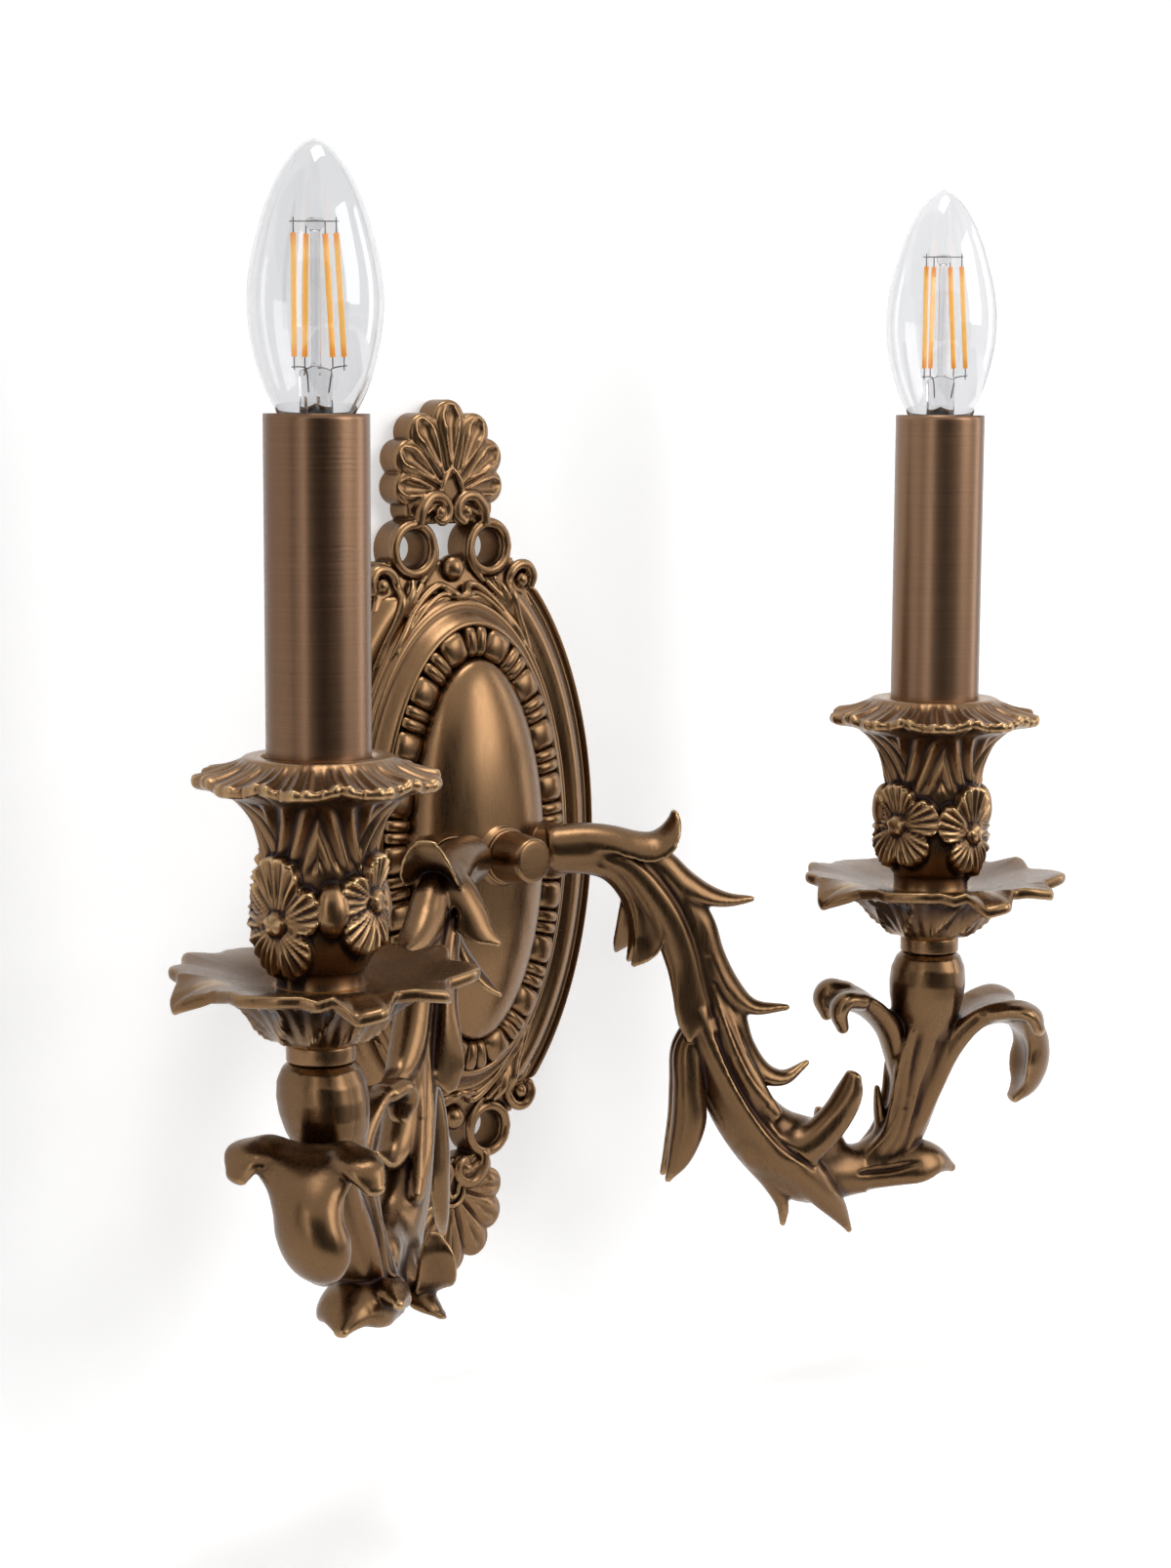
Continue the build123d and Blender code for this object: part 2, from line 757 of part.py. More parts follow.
def build_bulb_insulator(side):
    rim = insulator_level + insulator_height
    outline = [
        (0, insulator_level),
        (bulb_tip_radius + 2, insulator_level),
        (cap_inner, rim - 1),
        (cap_inner, rim + 2),
        (0, rim + 2),
    ]
    return turned(side, outline)


def build_bulb_cap(side):
    level = insulator_level + insulator_height - 1
    with BuildPart() as bulb_cap:
        with BuildSketch(candle_plane(side, level)):
            Circle(cap_outer)
            Circle(cap_inner, mode=Mode.SUBTRACT)
        extrude(amount=bulb_cap_top - level)
    return bulb_cap


glass_foot = bulb_cap_top - 8.5
neck_outer = cap_inner - running_gap


def glass_curve(inset):
    """Shoulder, belly and tip of the glass, as points from the neck up to the axis."""
    widest = bulb_radius - inset
    rise = bulb_top_level - inset - bulb_waist_level
    drop = bulb_waist_level - bulb_cap_top
    return [
        (neck_outer - inset, bulb_cap_top + 0.4),
        (0.64 * widest, bulb_waist_level - 0.77 * drop),
        (0.92 * widest, bulb_waist_level - 0.4 * drop),
        (widest, bulb_waist_level),
        (0.86 * widest, bulb_waist_level + 0.42 * rise),
        (0.5 * widest, bulb_waist_level + 0.76 * rise),
        (0.2 * widest, bulb_waist_level + 0.94 * rise),
        (0, bulb_top_level - inset),
    ]


def build_bulb_glass(side):
    outer = glass_curve(0)
    inner = glass_curve(bulb_glass_wall)
    with BuildPart() as bulb_glass:
        with BuildSketch(candle_section(side)):
            with BuildLine():
                Line((outer[0][0], glass_foot), outer[0])
                Spline(*outer, tangents=[(0.4, 1), (-1, 0)])
                Line(outer[-1], inner[-1])
                Spline(*inner, tangents=[(0.4, 1), (-1, 0)])
                Line(inner[0], (inner[0][0], glass_foot))
                Line((inner[0][0], glass_foot), (outer[0][0], glass_foot))
            make_face()
        revolve(axis=candle_axis(side))
    return bulb_glass


def build_bulb_stem(side):
    """Flared foot sealed into the neck, the pinch, and the glass rod up to the top wires."""
    flare = neck_outer - bulb_glass_wall
    pinch_top = filament_level - 3
    rod_top = filament_level + filament_length + 1.5
    outline = [
        (0, glass_foot),
        (flare, glass_foot),
        (flare, glass_foot + 1.2),
        (3.0, glass_foot + 7),
        (2.4, pinch_top - 1),
        (0.9, pinch_top),
        (0.9, rod_top),
        (1.8, rod_top + 0.4),
        (1.8, rod_top + 2),
        (0, rod_top + 2),
    ]
    return turned(side, outline)


def build_filaments(side):
    with BuildPart() as filaments:
        with BuildSketch(candle_plane(side, filament_level)):
            with PolarLocations(filament_spread, filament_count, start_angle=45):
                Circle(filament_radius)
        extrude(amount=filament_length)
    return filaments


def build_bulb_wires(side):
    """Cross wires that hold the filaments, above and below."""
    wire = 0.25
    reach = 2 * (filament_spread + filament_radius)
    rod = 0.9
    with BuildPart() as bulb_wires:
        for level in (filament_level - 2 * wire, filament_level + filament_length):
            with BuildSketch(candle_plane(side, level)):
                Rectangle(reach, 2 * wire, rotation=45)
                Rectangle(reach, 2 * wire, rotation=-45)
                Circle(rod + 0.6)
                Circle(rod, mode=Mode.SUBTRACT)
            extrude(amount=2 * wire)
    return bulb_wires


pieces = {
    "arm": build_arm,
    "arm_nipple": build_arm_nipple,
    "arm_nut": build_arm_nut,
    "collar": build_collar,
    "leads": build_leads,
    "candle_nipple": build_candle_nipple,
    "neck_ring": build_neck_ring,
    "drip_pan": build_drip_pan,
    "candle_cup": build_candle_cup,
    "cup_nut": build_cup_nut,
    "lampholder": build_lampholder,
    "holder_shell": build_holder_shell,
    "holder_contact": build_holder_contact,
    "candle_sleeve": build_candle_sleeve,
    "bulb_contact": build_bulb_contact,
    "bulb_insulator": build_bulb_insulator,
    "bulb_cap": build_bulb_cap,
    "bulb_glass": build_bulb_glass,
    "bulb_stem": build_bulb_stem,
    "filaments": build_filaments,
    "bulb_wires": build_bulb_wires,
}
for piece_name, build_piece in pieces.items():
    for side_name, side in SIDES.items():
        save(build_piece(side), f"{piece_name}_{side_name}")
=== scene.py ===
import json
from math import cos, pi, radians, sin

import bmesh
import bpy
import numpy as np
import openvdb
from mathutils import Matrix, Vector


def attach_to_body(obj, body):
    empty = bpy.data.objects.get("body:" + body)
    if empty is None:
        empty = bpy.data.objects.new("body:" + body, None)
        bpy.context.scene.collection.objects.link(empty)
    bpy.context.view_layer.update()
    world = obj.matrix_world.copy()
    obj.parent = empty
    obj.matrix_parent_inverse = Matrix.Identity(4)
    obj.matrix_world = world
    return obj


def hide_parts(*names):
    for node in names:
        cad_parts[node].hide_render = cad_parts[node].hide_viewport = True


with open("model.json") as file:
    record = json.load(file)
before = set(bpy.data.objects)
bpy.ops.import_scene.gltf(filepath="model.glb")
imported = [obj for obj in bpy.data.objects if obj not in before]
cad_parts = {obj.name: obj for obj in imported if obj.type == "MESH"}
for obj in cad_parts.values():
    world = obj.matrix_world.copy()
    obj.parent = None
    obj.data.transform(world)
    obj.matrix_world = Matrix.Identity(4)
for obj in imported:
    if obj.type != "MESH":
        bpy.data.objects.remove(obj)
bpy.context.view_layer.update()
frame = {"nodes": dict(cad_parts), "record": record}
nodes = frame["nodes"]
sides = {"left": -1, "right": 1}
mm = 0.001
print("frame loaded:", len(nodes), "nodes")


def rows(text):                              # numbers in a text, one row to each comma
    return np.array([row.split() for row in text.split(",")], float)


# materials: a socket that can stand in sums, and one way to make any node
class Wire:
    def __init__(self, recipe, socket):
        self.recipe = recipe
        self.socket = socket

    def maths(self, operation, first, second):
        return self.recipe.node("ShaderNodeMath", {"operation": operation}, {0: first, 1: second})

    def __add__(self, other):
        return self.maths("ADD", self, other)

    def __radd__(self, other):
        return self.maths("ADD", other, self)

    def __sub__(self, other):
        return self.maths("SUBTRACT", self, other)

    def __rsub__(self, other):
        return self.maths("SUBTRACT", other, self)

    def __mul__(self, other):
        return self.maths("MULTIPLY", self, other)

    def __rmul__(self, other):
        return self.maths("MULTIPLY", other, self)

    def eased(self, low, high, toLow=0.0, toHigh=1.0):
        return self.recipe.node("ShaderNodeMapRange", {"interpolation_type": "SMOOTHSTEP"},
                                {0: self, 1: low, 2: high, 3: toLow, 4: toHigh})


class Recipe:
    def __init__(self, name, kind="materials"):
        self.material = getattr(bpy.data, kind).new(name)
        self.material.use_nodes = True
        self.tree = self.material.node_tree
        self.tree.nodes.clear()

    def node(self, kind, settings=None, inputs=None, output=0):
        made = self.tree.nodes.new(kind)
        for key, value in (settings or {}).items():
            if key == "stops":
                ramp = made.color_ramp
                while len(ramp.elements) < len(value):
                    ramp.elements.new(0.5)
                for element, (place, shade) in zip(ramp.elements, value):
                    element.position = place
                    element.color = shade
            else:
                setattr(made, key, value)
        for key, value in (inputs or {}).items():
            if isinstance(value, Wire):
                self.tree.links.new(value.socket, made.inputs[key])
            else:
                made.inputs[key].default_value = value
        return Wire(self, made.outputs[output]) if len(made.outputs) else None

    def noise(self, scale, stretch=(1, 1, 1), detail=3.0):
        spot = self.node("ShaderNodeTexCoord", output=3)
        spot = self.node("ShaderNodeMapping", None, {"Vector": spot, "Scale": stretch})
        return self.node("ShaderNodeTexNoise", None, {"Vector": spot, "Scale": scale, "Detail": detail})

    def mix(self, mask, first, second):
        return self.node("ShaderNodeMix", {"data_type": "RGBA"}, {0: mask, 6: first, 7: second}, output=2)

    def bump(self, height, distance, strength=1.0):
        return self.node("ShaderNodeBump", None, {"Height": height, "Distance": distance,
            "Strength": strength})

    def finish(self, surface=None, **inputs):
        if surface is None:
            surface = self.node("ShaderNodeBsdfPrincipled", None, {k.replace("_", " "): v for k,
                v in inputs.items()})
        self.node("ShaderNodeOutputMaterial", None, {"Surface": surface})
        return self.material


def shade(red, green, blue):                 # a screen colour of 0 to 255, made linear
    return tuple((((v / 255) + 0.055) / 1.055) ** 2.4 for v in (red, green, blue)) + (1.0,)


# brass colours: recess is dark patina with painted shade for the hollows, field the plain brass, edge rubbed
# brass with a painted highlight
brassLook = {"recess": shade(48, 33, 28), "field": shade(120, 92, 65), "edge": shade(177, 145, 105),
    "rough": 0.29}


def agedShadedBrass(name, stretch, shadeTint=1.0, brush=0.12):
    recipe = Recipe(name)
    # this mask paints the brass darker in hollows (patina and painted shade) and lighter on raised edges
    # (rubbed wear and painted highlight)
    wear = recipe.node("ShaderNodeAttribute", {"attribute_name": "wear"}, output=2)
    patches = recipe.noise(38, detail=4.0)
    brushed = recipe.noise(900, stretch, 4.0)
    grains = recipe.noise(2600, detail=2.0)
    # a tint below 1 paints the whole material darker, painted shade
    place = wear + (patches - 0.5) * 0.10 + (brushed - 0.5) * 0.05 - 0.3 * (1 - shadeTint)
    stops = [(0.0, tuple(0.55 * v for v in brassLook["recess"][:3]) + (1,)), (0.30, brassLook["recess"]),
             (0.47, tuple(shadeTint * v for v in brassLook["field"][:3]) + (1,)),
             (0.58, tuple(1.1 * shadeTint * v for v in brassLook["field"][:3]) + (1,)), (0.82, brassLook["edge"])]
    paint = recipe.node("ShaderNodeValToRGB", {"stops": stops}, {0: place})
    rough = brassLook["rough"] + (brushed - 0.5) * 0.16 + (grains - 0.5) * 0.05 + wear.eased(0.50, 0.2,
        0.0, 0.22)
    height = (brushed - 0.5) * brush + (grains - 0.5) * 0.03
    return recipe.finish(Base_Color=paint, Metallic=wear.eased(0.05, 0.42, 0.72, 1.0), Roughness=rough,
                         Normal=recipe.bump(height, 0.0003, 0.3))


castBrass = agedShadedBrass("cast_brass", (1.0, 1.0, 0.12))
# the arms and drip pans: the same brass painted darker all over, painted shade
shadedArmBrass = agedShadedBrass("arm_brass", (1.0, 1.0, 0.12), 0.80)
turnedBrass = agedShadedBrass("turned_brass", (0.03, 0.03, 1.0), 1.0, 0.10)


def plainLook(name, base, other, rough, metallic, scale, stretch=(1, 1, 1), bumpiness=0.1, **more):
    recipe = Recipe(name)
    blotch = recipe.noise(scale, stretch, 4.0)
    fine = recipe.noise(scale * 14, stretch, 2.0)
    colour = recipe.mix(blotch.eased(0.35, 0.68), base, other)
    return recipe.finish(Base_Color=colour, Metallic=metallic,
        Roughness=rough + (blotch - 0.5) * 0.22 + (fine - 0.5) * 0.08,
                         Normal=recipe.bump((fine - 0.5) * bumpiness + (blotch - 0.5) * bumpiness, 0.0003,
                             0.4), **more)


def sleeveLook():
    recipe = Recipe("sleeve_brass")
    rings = recipe.noise(1400, (0.012, 0.012, 1.0), 3.0)
    # the vertical light and dark bands in the sleeve colour are painted reflection bands; the fine rings are
    # lathe marks
    paintedReflectionBands = recipe.noise(34, (1, 1, 0.05), 2.0)
    fine = recipe.noise(2400, (0.05, 0.05, 1.0), 2.0)
    stops = [(0.0, shade(90, 67, 51)), (0.42, shade(114, 87, 67)), (0.6, shade(133, 104, 81)), (1.0,
        shade(152, 121, 96))]
    paint = recipe.node("ShaderNodeValToRGB", {"stops": stops},
        {0: 0.5 + (paintedReflectionBands - 0.5) * 0.8 + (rings - 0.5) * 0.22})
    return recipe.finish(Base_Color=paint, Metallic=1.0,
        Roughness=0.33 + (rings - 0.5) * 0.2 + (paintedReflectionBands - 0.5) * 0.1,
                         Normal=recipe.bump((rings - 0.5) * 0.3 + (fine - 0.5) * 0.3, 0.0002, 0.3))


def glassLook():
    recipe = Recipe("clear_glass")
    smear = recipe.noise(22, (1, 1, 0.6), 3.0)
    colour = recipe.mix(smear.eased(0.3, 0.7), (0.80, 0.805, 0.815, 1), (0.86, 0.86, 0.87, 1))
    return recipe.finish(Base_Color=colour, Roughness=0.015 + smear.eased(0.45, 0.8) * 0.03, IOR=1.46,
        **{"Transmission_Weight": 1.0},
                         Normal=recipe.bump(smear, 0.0004, 0.15))


def filamentLook():
    recipe = Recipe("filament_phosphor")
    grain = recipe.noise(2600, detail=3.0)
    spot = recipe.node("ShaderNodeTexCoord", output=3)
    parts = recipe.node("ShaderNodeSeparateXYZ", None, {0: spot}, output=2)
    ends = 1.0 - parts.eased(0.1495, 0.1535) + parts.eased(0.1755, 0.1795)
    body = recipe.mix(grain.eased(0.3, 0.7), shade(252, 184, 84), shade(255, 200, 112))
    paint = recipe.mix(ends, body, shade(244, 158, 58))
    # Emission paints a glow in the phosphor colour, though the filament is no lamp
    return recipe.finish(Base_Color=paint, Roughness=0.42 + (grain - 0.5) * 0.2, Metallic=0.0,
        Emission_Color=paint, Emission_Strength=0.55,
                         Normal=recipe.bump(grain, 0.0002, 0.3))


sleeveBrass = sleeveLook()
clearGlass = glassLook()
filamentMaterial = filamentLook()
wireMaterial = plainLook("bare_wire", shade(96, 94, 94), shade(140, 138, 136), 0.35, 1.0, 300)
nodeLooks = {
    "zinc_steel": plainLook("zinc_plate", shade(176, 180, 184), shade(205, 207, 206), 0.34, 1.0, 60, (1, 1,
        1), 0.2),
    "plain_brass": plainLook("bright_brass", shade(206, 170, 96), shade(222, 190, 120), 0.28, 1.0, 90, (1,
        1, 1), 0.15),
    "white_plastic": plainLook("white_plastic", shade(226, 226, 220), shade(238, 238, 232), 0.5, 0.0, 120,
        (1, 1, 1), 0.2),
    "black_plastic": plainLook("black_plastic", shade(22, 22, 23), shade(34, 34, 35), 0.48, 0.0, 120, (1,
        1, 1), 0.2),
    "lead_cover": plainLook("lead_cover", shade(150, 128, 96), shade(176, 152, 118), 0.55, 0.0, 200, (1, 1,
        0.3), 0.2),
    "cap_metal": plainLook("cap_metal", shade(196, 196, 196), shade(220, 220, 218), 0.24, 1.0, 80, (1, 1,
        1), 0.1),
    "black_glass": plainLook("black_glass", shade(14, 14, 16), shade(26, 26, 30), 0.12, 0.0, 90, (1, 1, 1),
        0.05)}
nodeLooks["wire"] = wireMaterial
nodeLooks["filament"] = filamentMaterial
nodeLooks["clear_glass"] = clearGlass
nodeLooks["antique_brass"], nodeLooks["sleeve_brass"] = castBrass, sleeveBrass
print("materials ready")


# mesh helpers
def meshPiece(name, points, faces, material, wear=None, smooth=True):
    mesh = bpy.data.meshes.new(name)
    points = np.asarray(points, np.float32) * mm
    mesh.vertices.add(len(points))
    mesh.vertices.foreach_set("co", points.ravel())
    groups = [np.asarray(f, np.int32) for f in faces if len(f)]
    loops = np.concatenate([g.ravel() for g in groups])
    lengths = np.concatenate([np.full(len(g), g.shape[1]) for g in groups])
    mesh.loops.add(len(loops))
    mesh.loops.foreach_set("vertex_index", loops)
    mesh.polygons.add(len(lengths))
    mesh.polygons.foreach_set("loop_start", np.concatenate([[0], np.cumsum(lengths)[:-1]]).astype(np.int32))
    mesh.update(calc_edges=True)
    mesh.validate()
    mesh.polygons.foreach_set("use_smooth", np.full(len(mesh.polygons), smooth))
    piece = bpy.data.objects.new(name, mesh)
    bpy.context.scene.collection.objects.link(piece)
    mesh.materials.append(material)
    if wear is not None:
        addWearAndShade(piece, *wear)
    return piece


# this mask gives hollows patina with painted shade, and raised edges rubbed wear with a painted highlight
def addWearAndShade(piece, reach, gain, base=0.5):     # how far each point stands out of its surroundings
    mesh = piece.data
    count = len(mesh.vertices)
    at = np.empty(count * 3, np.float32)
    mesh.vertices.foreach_get("co", at)
    at = at.reshape(-1, 3).astype(float) / mm
    out = np.empty(count * 3, np.float32)
    mesh.vertices.foreach_get("normal", out)
    out = out.reshape(-1, 3)
    edge = np.empty(len(mesh.edges) * 2, np.int32)
    mesh.edges.foreach_get("vertices", edge)
    edge = edge.reshape(-1, 2)
    heads, tails = np.concatenate([edge[:, 0], edge[:, 1]]), np.concatenate([edge[:, 1], edge[:, 0]])
    size = np.median(np.linalg.norm(at[edge[:, 0]] - at[edge[:, 1]], axis=1))
    number = np.maximum(np.bincount(heads, minlength=count), 1)[:, None]
    value = np.full(count, base)
    for wide, strong in zip(reach, gain):
        soft = at.copy()
        for _ in range(int(min(max((wide / size) ** 2, 1), 90))):
            soft = 0.5 * soft + 0.5 * np.stack([np.bincount(heads, soft[tails, k],
                count) for k in range(3)], 1) / number
        value += strong * ((at - soft) * out).sum(1)
    old = mesh.attributes.get("wear")
    if old:
        mesh.attributes.remove(old)
    mesh.attributes.new("wear", "FLOAT", "POINT").data.foreach_set("value", np.clip(value, 0,
        1).astype(np.float32))


def gridFaces(rows, columns, closeRows=False, closeColumns=True):
    i, j = np.meshgrid(np.arange(rows if closeRows else rows - 1),
        np.arange(columns if closeColumns else columns - 1), indexing="ij")
    a, b = i * columns + j, i * columns + (j + 1) % columns
    c, d = ((i + 1) % rows) * columns + (j + 1) % columns, ((i + 1) % rows) * columns + j
    return np.stack([a, b, c, d], -1).reshape(-1, 4)


def smoothLine(points, steps):                # Catmull-Rom through rows of numbers
    points = np.asarray(points, float)
    padded = np.vstack([2 * points[0] - points[1], points, 2 * points[-1] - points[-2]])
    rows = []
    for k in range(1, len(padded) - 2):
        for t in np.arange(steps) / steps:
            a, b, c, d = padded[k - 1:k + 3]
            rows.append(0.5 * (2 * b + (c - a) * t + (2 * a - 5 * b + 4 * c - d) * t ** 2 + (3
                * b - a - 3 * c + d) * t ** 3))
    return np.array(rows + [points[-1]])


def rounded(profile, reach):                 # a small round at each corner of a profile
    profile = np.asarray(profile, float)
    rows = [profile[0]]
    for a, b, c in zip(profile[:-2], profile[1:-1], profile[2:]):
        first, second = np.linalg.norm(a - b), np.linalg.norm(c - b)
        cut = min(reach, 0.45 * first, 0.45 * second)
        start, end = b + (a - b) * cut / first, b + (c - b) * cut / second
        rows += [start, 0.25 * start + 0.5 * b + 0.25 * end, end]
    return np.array(rows + [profile[-1]])


# a profile of (radius, level) turned round an axis
def turned(name, profile, centre, material, wear=((1.0, 3.0), (0.5, 0.2)), columns=96, axis=None, bend=None):
    profile = np.asarray(profile, float)
    angle = np.linspace(0, 2 * pi, columns, endpoint=False)
    radius = np.maximum(profile[:, :1], 1e-3) * np.ones(columns)
    level = profile[:, 1:2] * np.ones(columns)
    if bend:
        radius, level = bend(radius, level, angle[None, :])
    local = np.stack([radius * np.cos(angle), radius * np.sin(angle), level], -1).reshape(-1, 3)
    if axis is not None:
        up = np.array(axis, float) / np.linalg.norm(axis)
        side = np.cross(up, (0, 0, 1.0))
        side /= np.linalg.norm(side)
        local = local @ np.stack([side, np.cross(up, side), up])
    points = local + np.array(centre, float)
    closed = np.linalg.norm(profile[0] - profile[-1]) > 1e-6 and profile[0, 0] > 0.01
    faces = gridFaces(len(profile), columns, closed)
    piece = meshPiece(name, points, [faces], material)
    tidyMesh(piece, 0.004)
    addWearAndShade(piece, *wear)
    return piece


def tidyMesh(piece, gap):                     # weld doubles and turn the faces outwards
    work = bmesh.new()
    work.from_mesh(piece.data)
    bmesh.ops.remove_doubles(work, verts=work.verts, dist=gap * mm)
    bmesh.ops.recalc_face_normals(work, faces=work.faces)
    work.to_mesh(piece.data)
    work.free()
    for face in piece.data.polygons:
        face.use_smooth = True


# castings: leaves and strands melted together in a grid of distances
class Casting:
    def __init__(self, low, high, step):
        self.low, self.step = np.array(low, float), step
        self.count = np.ceil((np.array(high) - self.low) / step).astype(int) + 1
        self.field = np.full(self.count, 6.0, np.float32)

    def window(self, low, high):
        a = np.clip(np.floor((np.array(low) - self.low) / self.step).astype(int), 0, self.count - 1)
        b = np.clip(np.ceil((np.array(high) - self.low) / self.step).astype(int) + 1, 1, self.count)
        axes = [self.low[k] + self.step * np.arange(a[k], b[k]) for k in range(3)]
        return tuple(slice(a[k], b[k]) for k in range(3)), np.stack(np.meshgrid(*axes, indexing="ij"),
            -1).astype(np.float32)

    def melt(self, where, distance, blend, cut=False):
        old = self.field[where]
        if cut:
            old = -old
        h = np.maximum(blend - np.abs(old - distance), 0) / blend
        new = np.minimum(old, distance) - h * h * blend / 4
        self.field[where] = -new if cut else new

    def leaf(self, path, half, thick, face=(0, 0, 1), camber=0.0, blend=1.6, cut=False, steps=7, thin=0.45):
        count = len(path)
        rows = np.zeros((count, 9))
        rows[:, :3] = path
        rows[:, 3] = half
        rows[:, 4] = thick
        rows[:, 5:8] = face
        rows[:, 8] = camber
        rows = smoothLine(rows, steps)
        line, half, thick, face, camber = rows[:, :3], np.maximum(rows[:, 3], 0.2), np.maximum(rows[:, 4],
            0.15), rows[:, 5:8], rows[:, 8]
        along = np.gradient(line, axis=0)
        along /= np.linalg.norm(along, axis=1)[:, None]
        face = face - (face * along).sum(1)[:, None] * along
        face /= np.linalg.norm(face, axis=1)[:, None]
        reach = np.maximum(half, thick).max() + blend + 2.5 * self.step
        where, spot = self.window(line.min(0) - reach, line.max(0) + reach)
        best = np.full(spot.shape[:3], 1e9, np.float32)
        place = np.zeros(spot.shape[:3], np.float32)
        for k in range(len(line) - 1):
            a, ab = line[k].astype(np.float32), (line[k + 1] - line[k]).astype(np.float32)
            gap = spot - a
            t = np.clip((gap @ ab) / (ab @ ab), 0, 1)
            gap -= t[..., None] * ab
            d = np.einsum("...k,...k->...", gap, gap)
            near = d < best
            best = np.where(near, d, best)
            place = np.where(near, k + t, place)
        close = best < reach ** 2
        spot, place = spot[close], place[close]
        k = np.minimum(place.astype(int), len(line) - 2)
        f = (place - k)[:, None]

        def at(values):
            values = values if values.ndim > 1 else values[:, None]
            return values[k] * (1 - f) + values[k + 1] * f

        tangent, normal = at(along), at(face)
        gap = spot - at(line)
        side = np.cross(tangent, normal)
        u, v = (gap * side).sum(1), (gap * normal).sum(1)
        ahead = np.maximum((gap * gap).sum(1) - u * u - v * v, 0)
        h, b, c = at(half)[:, 0], at(thick)[:, 0], at(camber)[:, 0]
        h = np.maximum(h, b)
        v = (v + c * u * u) / np.sqrt(1 + (2 * c * u) ** 2)
        b = b * (1 - thin * np.minimum((u / h) ** 2, 1) * (h > 1.3 * b))
        distance = np.sqrt(np.maximum(np.abs(u) - (h - b), 0) ** 2 + v * v + ahead) - b
        full = np.full(close.shape, 6.0, np.float32)
        full[close] = distance
        self.melt(where, full, blend, cut)

    def piece(self, name, place, material, wear):
        grid = openvdb.FloatGrid(6.0)
        grid.copyFromArray(self.field)
        points, triangles, quads = grid.convertToPolygons(isovalue=0.0, adaptivity=0.0)
        points = place(points * self.step + self.low)
        a, b, c = (points[quads[:, k]] for k in range(3))
        volume = (np.cross(b, c) * a).sum()
        if volume < 0:
            quads, triangles = quads[:, ::-1], triangles[:, ::-1]
        return meshPiece(name, points, [quads, triangles], material, wear)


# geometry nodes: a tree with named inputs, used once and turned into a plain mesh
class Growth:
    def __init__(self, name, sizes):
        self.tree = bpy.data.node_groups.new(name, "GeometryNodeTree")
        face = self.tree.interface
        self.keys = {}
        face.new_socket("Geometry", in_out="INPUT", socket_type="NodeSocketGeometry")
        face.new_socket("Geometry", in_out="OUTPUT", socket_type="NodeSocketGeometry")
        for label, value in sizes.items():
            kind = "NodeSocketInt" if isinstance(value, int) else "NodeSocketFloat"
            self.keys[label] = face.new_socket(label, in_out="INPUT", socket_type=kind).identifier
        self.start = self.tree.nodes.new("NodeGroupInput")
        self.sizes = sizes

    def size(self, label):
        return self.start.outputs[label]

    def node(self, kind, settings=None, inputs=None, output=0):
        made = self.tree.nodes.new(kind)
        for key, value in (settings or {}).items():
            setattr(made, key, value)
        for key, value in (inputs or {}).items():
            for one in value if isinstance(value, list) else [value]:
                if isinstance(one, bpy.types.NodeSocket):
                    self.tree.links.new(one, made.inputs[key])
                else:
                    made.inputs[key].default_value = one
        return made.outputs[output]

    def maths(self, operation, first, second=0.0):
        return self.node("ShaderNodeMath", {"operation": operation}, {0: first, 1: second})

    def grow(self, carrier, shape, material, name):
        whole = self.node("GeometryNodeRealizeInstances", None, {0: shape})
        whole = self.node("GeometryNodeSetShadeSmooth", None, {0: whole})
        whole = self.node("GeometryNodeSetMaterial", None, {0: whole, "Material": material})
        end = self.tree.nodes.new("NodeGroupOutput")
        self.tree.links.new(whole, end.inputs[0])
        change = carrier.modifiers.new(name, "NODES")
        change.node_group = self.tree
        for label, value in self.sizes.items():
            change[self.keys[label]] = value
        bpy.context.view_layer.update()
        seen = carrier.evaluated_get(bpy.context.evaluated_depsgraph_get())
        mesh = bpy.data.meshes.new_from_object(seen)
        carrier.modifiers.remove(change)
        bpy.data.objects.remove(carrier)
        mesh.name = name
        mesh.materials.clear()
        mesh.materials.append(material)
        piece = bpy.data.objects.new(name, mesh)
        bpy.context.scene.collection.objects.link(piece)
        return piece


def emptyCarrier(name):
    holder = bpy.data.objects.new(name, bpy.data.meshes.new(name))
    bpy.context.scene.collection.objects.link(holder)
    return holder


def attach(piece, body, slotName, *replaced):
    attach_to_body(piece, body)
    if replaced:
        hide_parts(*replaced)


# the arm: places are (out from the collar, level, sideways), read along the arm
armSizes = {"root": (23.61, -42.60), "out": (0.849, -0.528), "step": 0.6, "bow": 8.5, "turn": 0.22,
    "rise": {"left": 4.5, "right": 0.0}, "tuck": {"left": 0.6, "right": 0.0},
            "low": (-6, -131, -27), "high": (168, 16, 27), "start": 4.06, "candle": 117.6, "top": -34.6}

def leafOf(columns, text, **more):           # one leaf from its columns
    table = dict(zip(columns, rows(text).T))
    flat = 0 * table["s"]
    leaf = {"path": np.stack([table["s"], table["z"], table.get("w", flat)], 1), "half": table["h"],
        "thick": table["t"]}
    if "a" in table:
        leaf["face"] = np.stack([table["a"], table["b"], table.get("c", flat)], 1)
    if "d" in table:
        leaf["camber"] = table["d"]
    return {**leaf, **more}


